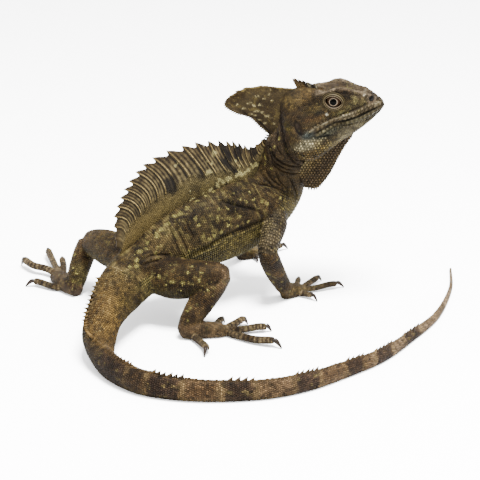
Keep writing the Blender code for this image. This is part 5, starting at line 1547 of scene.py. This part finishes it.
def lip_area(points):
    """The band beside the mouth, where the plates of the lips lie."""
    forward, out, up = head_local(points).T
    return (forward > 6.5) & (up > -2.0) & (up < 3.1) & (np.abs(out) > 1.5)


head_batches = [
    sleeve_scales("head", 0.02, 0.985, ALL_ROUND, lambda s: 0.85 - 0.15 * s, lambda s: 0.82 - 0.15 * s,
                  0.22, BEAD, (0.42, 1.36), 105, limit=1.6,
                  keep=lambda p: ~jaw_area(p) & ~bare_area(p) & ~lip_area(p), cell=(0, 4)),
    sleeve_scales("head", 0.02, 0.6, ALL_ROUND, 1.35, 1.3, 0.42, BEAD, (0.13, 2.3), 106, limit=1.6,
                  keep=lambda p: jaw_area(p) & ~bare_area(p), cell=(1, 4)),
]
coat("scales_head", head_batches, horny)
LEG_GRAINS = {"thigh": (0.95, (0.55, 1.2)), "shin": (1.0, (0.5, 1.25)), "upper_arm": (1.5, (0.22, 1.95)),
              "forearm": (1.15, (0.5, 1.25))}  # how far apart the scales are, and how dark and pale
legs, feet = [], []
limbs = [name for name in sleeve_names if name.split("_", 1)[-1] in LEG_GRAINS]
paws = [name for name in sleeve_names if name not in limbs and name not in ("body", "head")]
for number, name in enumerate(limbs):
    pitch, contrast = LEG_GRAINS[name.split("_", 1)[1]]
    legs.append(sleeve_scales(name, 0.0, 1.0, ALL_ROUND, pitch, pitch * 0.95, 0.26, BEAD, contrast,
                              110 + number, cell=(number, len(limbs))))
coat("scales_legs", legs, horny)
for number, name in enumerate(paws):
    toe = "toe" in name
    pitch = 0.72 if toe else 0.8
    feet.append(sleeve_scales(name, 0.0, 0.97, ALL_ROUND, pitch * 1.1, pitch, 0.2, PLATE if toe else BEAD,
                              (0.45, 1.3) if toe else (0.5, 1.25), 130 + number, cell=(number, len(paws))))
coat("scales_feet", feet, horny)


# Scales of the sail, crests and throat fan
# Fine grains of horn in the thin hide of the folds, with one row of larger beads up every ray of
# the sail and pale beads on the throat fan.
THORN = (((-0.5, 0.0), (-0.25, 0.5), (0.25, 0.4), (0.6, 0.0), (0.25, -0.4), (-0.25, -0.5)),
         (-0.5, -0.4, -0.2, 0.3, -0.2, -0.4), (0.45, 0.0, 1.0))
LEANED = (THORN[0], THORN[1], (0.62, 0.0, 1.0))  # the same spine, laid back along the tail
SIDE_START, SIDE_REACH = 40, 60  # where lines to a sheet start beside it, and their length


def side_hits(places, tree, way):
    """Where lines from one side meet a surface: which lines do, points, normals and faces."""
    found = []
    for k, place in enumerate(places):
        hit, normal, face, _ = tree.ray_cast(Vector(place - way * SIDE_START), Vector(way), SIDE_REACH)
        if hit is not None:
            found.append((k, *hit, *normal, face))
    found = np.array(found)
    return found[:, 0].astype(int), found[:, 1:4], found[:, 4:7], found[:, 7].astype(int)


def sheet_scales(middle, half, side, colours, pitch, lift, contrast, seed, cell, keep=None):
    """Scales on both faces of a crest or sail, in staggered rows a pitch apart."""
    flat = middle.reshape(-1, 3)
    along = np.cross(side, (0, 0, 1.0))
    rows = middle.shape[1]
    quads = np.arange(middle.shape[0] * rows).reshape(middle.shape[:2])
    corners = np.stack((quads[:-1, :-1], quads[1:, :-1], quads[1:, 1:], quads[:-1, 1:]), -1).reshape(-1, 4)
    x, z = flat @ along, flat[:, 2]
    across_steps, up_steps = np.meshgrid(np.arange(x.min(), x.max(), pitch),
                                         np.arange(z.min(), z.max(), pitch * 0.87))
    across_steps[1::2] += pitch / 2
    rng = np.random.default_rng(seed)
    x_at = across_steps.ravel() + rng.uniform(-0.12, 0.12, across_steps.size) * pitch
    z_at = up_steps.ravel() + rng.uniform(-0.12, 0.12, up_steps.size) * pitch
    level = (flat @ side).mean()
    places = along * x_at[:, None] + np.array((0, 0, 1.0)) * z_at[:, None] + side * level
    batches = []
    for face_of, way in enumerate((-side, side)):
        sheet = flat - way * half.reshape(-1)[:, None]
        tree = BVHTree.FromPolygons(sheet.tolist(), corners.tolist())
        _, roots, normals, face = side_hits(places, tree, way)
        normals *= -np.sign(normals @ way)[:, None]
        first = corners[face][:, 0]
        column, row = first // rows, first % rows
        stay = (row < rows - 2) if keep is None else (row < rows - 2) & keep(column, row)
        roots, normals, column, row, first = [v[stay] for v in (roots, normals, column, row, first)]
        upward = middle[column, np.minimum(row + 1, rows - 1)] - middle[column, row]
        size = np.full(len(roots), pitch * 1.08)
        made, x_of, y_of = scale_points(BEAD, roots, upward, normals, size, size * 0.92, size * lift,
                                        seed + face_of)
        shade = shades(contrast, (1, 1, 1, 1.1, 1, 1))[None] * rng.uniform(0.68, 1.36, len(roots))[:, None]
        tones_of = colours.reshape(-1, 3)[first][:, None] * shade[..., None]
        u, v = on_unwrap(cell[0] * 2 + face_of, cell[1] * 2, column / middle.shape[0], row / rows)
        batches.append((made, tones_of, patches(u, v, x_of, y_of)))
    return batches


sail_grid = sail_colours.reshape(columns, SAIL_ROWS, 3)
between_rays = sheet_scales(sail_middle, half_sail, SAIL_SIDE, sail_grid, 0.92, 0.2, (0.62, 1.2), 201,
                            (0, 2), keep=lambda c, r: shown[c, r] < 0.6)
coat("scales_sail", between_rays, horny)
RAY_BEAD, RAY_BEAD_PACE = 0.95, 0.85  # length of a bead, and from one to the next up a ray
# Painted shade round each ray bead's rim and root; its paler crown and rear tip are partly its own colour,
# partly a painted highlight
RAY_BEAD_SHADES = np.array([0.8, 0.7, 0.9, 1.3, 0.9, 0.7, 2.2, 0.5])
beads = []
for way, face_of in ((1, 2), (-1, 3)):
    roots, upward, tones_of, spots = [], [], [], []
    for column in np.nonzero((np.abs(sail_place - 0.5) < 0.01) & (sail_t < 0.94))[0]:
        line = sail_middle[column] + SAIL_SIDE * way * half_sail[column][:, None]
        far = lengths_to(line)
        low = np.interp(0.5, shown[column], far) if shown[column, 0] < 0.5 else 0
        for at in np.arange(low, far[-1] - 0.3, RAY_BEAD_PACE):
            row = min(int(np.interp(at, far, np.arange(SAIL_ROWS))), SAIL_ROWS - 2)
            roots.append(between(at, far, line))
            upward.append(line[row + 1] - line[row])
            tones_of.append(sail_grid[column, row])
            spots.append((column / columns, row / SAIL_ROWS))
    roots, upward, spots = np.array(roots), np.array(upward), np.array(spots)
    size = np.full(len(roots), RAY_BEAD)
    outwards = np.tile(SAIL_SIDE * way, (len(roots), 1))
    made, x, y = scale_points(KEELED, roots, upward, outwards, size, size * 0.75, size * 0.36,
                              203 + face_of)
    colours = np.array(tones_of)[:, None] * RAY_BEAD_SHADES[None, :, None]
    beads.append((made, colours, patches(*on_unwrap(face_of, 4, spots[:, 0], spots[:, 1]), x, y)))
coat("beads_of_the_rays", beads, horny)
CREST_GRAINS = (("lobe", 0.72, 0.22, (0.6, 1.2)), ("front_leaf", 0.8, 0.24, (0.55, 1.25)),
                ("throat_fan", 1.45, 0.36, (0.2, 4.0)))  # how far apart, how tall, how dark and pale
crest_scales = []
for number, (name, pitch, lift, contrast) in enumerate(CREST_GRAINS):
    middle, half, share, h, tones_of = crests[name]
    colours = tones_of(middle.reshape(-1, 3), np.repeat(share, len(h)), np.tile(h, len(share)))
    crest_scales += sheet_scales(middle, half, np.array(LEFT), colours, pitch, lift, contrast, 210 + number,
                                 (number, 3))


def edge_scales(name, start, end, pitch, size, lift, contrast, cell):
    """A row of small knobs along the free edge of a crest, from one share of it to another."""
    middle, _, share, _, tones_of = crests[name]
    line, inner = middle[:, -1], middle[:, -3]
    far = lengths_to(line)
    at = np.arange(start * far[-1], end * far[-1], pitch)
    column = np.clip(np.interp(at, far, np.arange(len(line))).astype(int), 0, len(line) - 2)
    roots = between(at, far, line)
    sizes = np.full(len(at), size)
    made, x, y = scale_points(THORN, roots, line[column + 1] - line[column], (line - inner)[column], sizes,
                              sizes * 0.9, sizes * lift, cell + 250)
    colours = tones_of(roots, share[column], np.ones(len(at)))[:, None] * shades(contrast)[None, :, None]
    u, v = np.full(len(at), 0.9 + 0.02 * cell), 0.02 + 0.96 * at / far[-1]
    return [(made, colours, patches(u, v, x, y))]


crest_scales += edge_scales("lobe", 0.03, 0.55, 1.5, 1.7, 0.6, (1.2, 2.6), 0)
crest_scales += edge_scales("lobe", 0.55, 0.98, 1.1, 1.1, 0.4, (0.6, 1.5), 1)
crest_scales += edge_scales("throat_fan", 0.03, 0.97, 1.3, 1.4, 0.7, (0.5, 2.2), 2)
crest_scales += edge_scales("front_leaf", 0.3, 0.95, 1.2, 1.2, 0.8, (0.7, 1.4), 3)
coat("scales_crests", crest_scales, horny)


# Plates of the lips and spines of the nape and tail
# A row of long smooth plates runs along each lip. Low horny spines with pale tips stand along the
# nape, the rump and the top of the tail.
LIP_STEPS = 200


def line_scales(line, offset, pitch, long, wide, lift, contrast, seed, cell):
    """A row of plates on both sides of the head, beside a line of (forward, up) points."""
    even, length = even_line(line, LIP_STEPS)
    along_line = np.gradient(even, axis=0)
    along_line /= np.linalg.norm(along_line, axis=1)[:, None]
    aside = np.stack((-along_line[:, 1], along_line[:, 0]), 1)
    at = np.arange(pitch / 2, length, pitch) / length * (LIP_STEPS - 1)
    steps = np.arange(LIP_STEPS)
    spots = between(at, steps, even + aside * offset)
    made_all = []
    for face_of, way in enumerate((1, -1)):
        places_beside = head_points(np.stack((spots[:, 0], np.zeros(len(spots)), spots[:, 1]), 1))
        direction = -way * (np.array((0, 1, 0)) @ HEAD_AXES)
        which, roots, normals, _ = side_hits(places_beside, hide_tree, direction)
        normals *= -np.sign(normals @ direction)[:, None]
        ahead = between(at, steps, along_line)[which]
        upward = np.stack((ahead[:, 0], np.zeros(len(which)), ahead[:, 1]), 1) @ HEAD_AXES
        size = np.ones(len(roots))
        made, x, y = scale_points(PLATE, roots, upward, normals, size * long, size * wide, size * lift,
                                  seed + face_of)
        colours = markings(*places(roots), roots)[:, None] * shades(contrast)[None, :, None]
        u, v = on_unwrap(cell * 2 + face_of, 16, at[which] / LIP_STEPS, np.full(len(which), 0.5))
        made_all.append((made, colours, patches(u, v, x, y)))
    return made_all


plates = []
for number, (offset, pitch, long, wide, lift, contrast) in enumerate((
    (1.2, 2.0, 1.85, 1.7, 0.2, (0.65, 1.08)), (-1.15, 2.1, 1.95, 1.6, 0.2, (0.65, 1.05)),
    (2.75, 1.5, 1.35, 1.2, 0.26, (0.45, 1.2)), (-2.6, 1.6, 1.45, 1.3, 0.28, (0.4, 1.3)),
)):
    plates += line_scales(HEAD_LINES[0][0], offset, pitch, long, wide, lift, contrast,
                          230 + 2 * number, number)
coat("plates_of_the_lips", plates, horny)
# Runs of spines along the ridge: first and last row, heights there, length and how closely they stand
SPINE_RUNS = ((0.35, 1.5, (1.9, 1.7), 1.5, 10), (9.3, 11.6, (2.5, 2.9), 2.7, 18),
              (11.6, 20.5, (2.5, 1.6), 3.3, 22))
ON_BANDS, OFF_BANDS = 1.1, 0.45  # the tail's spines are tall on its dark bands and low between them
spines = []
for number, (start, end, tall, long, pace) in enumerate(SPINE_RUNS):
    rows = np.arange(start, end, long * 0.8 / pace) * PATH_STEPS
    rows = rows[rows < len(sleeves["body"]) - 2]
    angles = np.zeros(len(rows))
    points = on_sleeve("body", rows, angles)
    along = on_sleeve("body", rows + 0.4, angles) - on_sleeve("body", rows - 0.4, angles)
    roots, normals, stay = settle(points, 2.0)
    roots, normals, along, rows = roots[stay], normals[stay], along[stay], rows[stay]
    high = np.linspace(*tall, len(roots))
    if number == 2:
        at = rows / PATH_STEPS
        banded = [any(low - 0.05 < place < top + 0.05 for low, top in TAIL_BANDS) for place in at]
        high = high * np.where(banded, ON_BANDS, OFF_BANDS)
    size = np.full(len(roots), long * 1.25)
    shape = THORN if number == 0 else LEANED
    made, x, y = scale_points(shape, roots, along, normals, size, size * 0.5, high, 240 + number)
    colours = markings(np.full(len(roots), sleeve_names.index("body")), rows, np.zeros(len(rows)), roots)
    # Painted shade round each spine's rim and at its root; the pale crown on the nape and rump is the
    # spine's own pale tip
    level = np.array([0.5, 0.45, 0.6, 0.7, 0.6, 0.45, 0.9 if number == 2 else 2.4, 0.4])
    u, v = 0.02 + 0.96 * rows / len(sleeves["body"]), np.full(len(rows), (number + 0.5) / 3)
    spines.append((made, colours[:, None] * level[None, :, None], patches(u, v, x, y)))
coat("spines_of_the_ridge", spines, horny)


# Floor, light and camera
# A pale seamless floor under soft studio light from above, and the view of the photograph. The camera
# looks down on the animal's middle from a metre away, and the picture is moved by a few of its points.
CAMERA_RISE = radians(22)
CAMERA_LENS, CAMERA_SENSOR = 165, 36
PICTURE, MOVED = 480, (1, 5)
LOOKED_AT = Vector((0.001525, -0.002187, 0.038))
PAPER = 0.95
SKY, LAMP_POWER, LAMP_SIZE = 4.05, 98, 0.32
LAMP_AT = (0.1, -0.15, 0.9)
floor_mesh = bpy.data.meshes.new("floor")
floor_mesh.from_pydata([(-4, -3, 0), (4, -3, 0), (4, 6, 0), (-4, 6, 0)], [], [(0, 1, 2, 3)])
# Matt paper: uncoated white roll, so bright and even that its edge and bend don't show
paper, _, shader = new_material("matt paper", 0.9, 0.5)
shader.inputs["Base Color"].default_value = (PAPER, PAPER, PAPER, 1)
floor_mesh.materials.append(paper)
floor = add_object("floor", floor_mesh)
camera = add_object("camera", bpy.data.cameras.new("camera"))
camera.location = LOOKED_AT + Vector((0, -cos(CAMERA_RISE), sin(CAMERA_RISE)))
camera.rotation_euler = (pi / 2 - CAMERA_RISE, 0, 0)
camera.data.sensor_width = CAMERA_SENSOR
camera.data.lens = CAMERA_LENS
camera.data.shift_x, camera.data.shift_y = (steps / PICTURE for steps in MOVED)
bpy.context.scene.camera = camera
world = bpy.data.worlds.new("studio")
bpy.context.scene.world = world
world.use_nodes = True
world.node_tree.nodes["Background"].inputs[0].default_value = (1, 1, 1, 1)
world.node_tree.nodes["Background"].inputs[1].default_value = SKY
lamp = add_object("overhead", bpy.data.lights.new("overhead", "AREA"))
lamp.data.size = LAMP_SIZE
lamp.data.energy = LAMP_POWER
lamp.location = LAMP_AT
lamp.rotation_euler = (radians(-10), radians(6), 0)
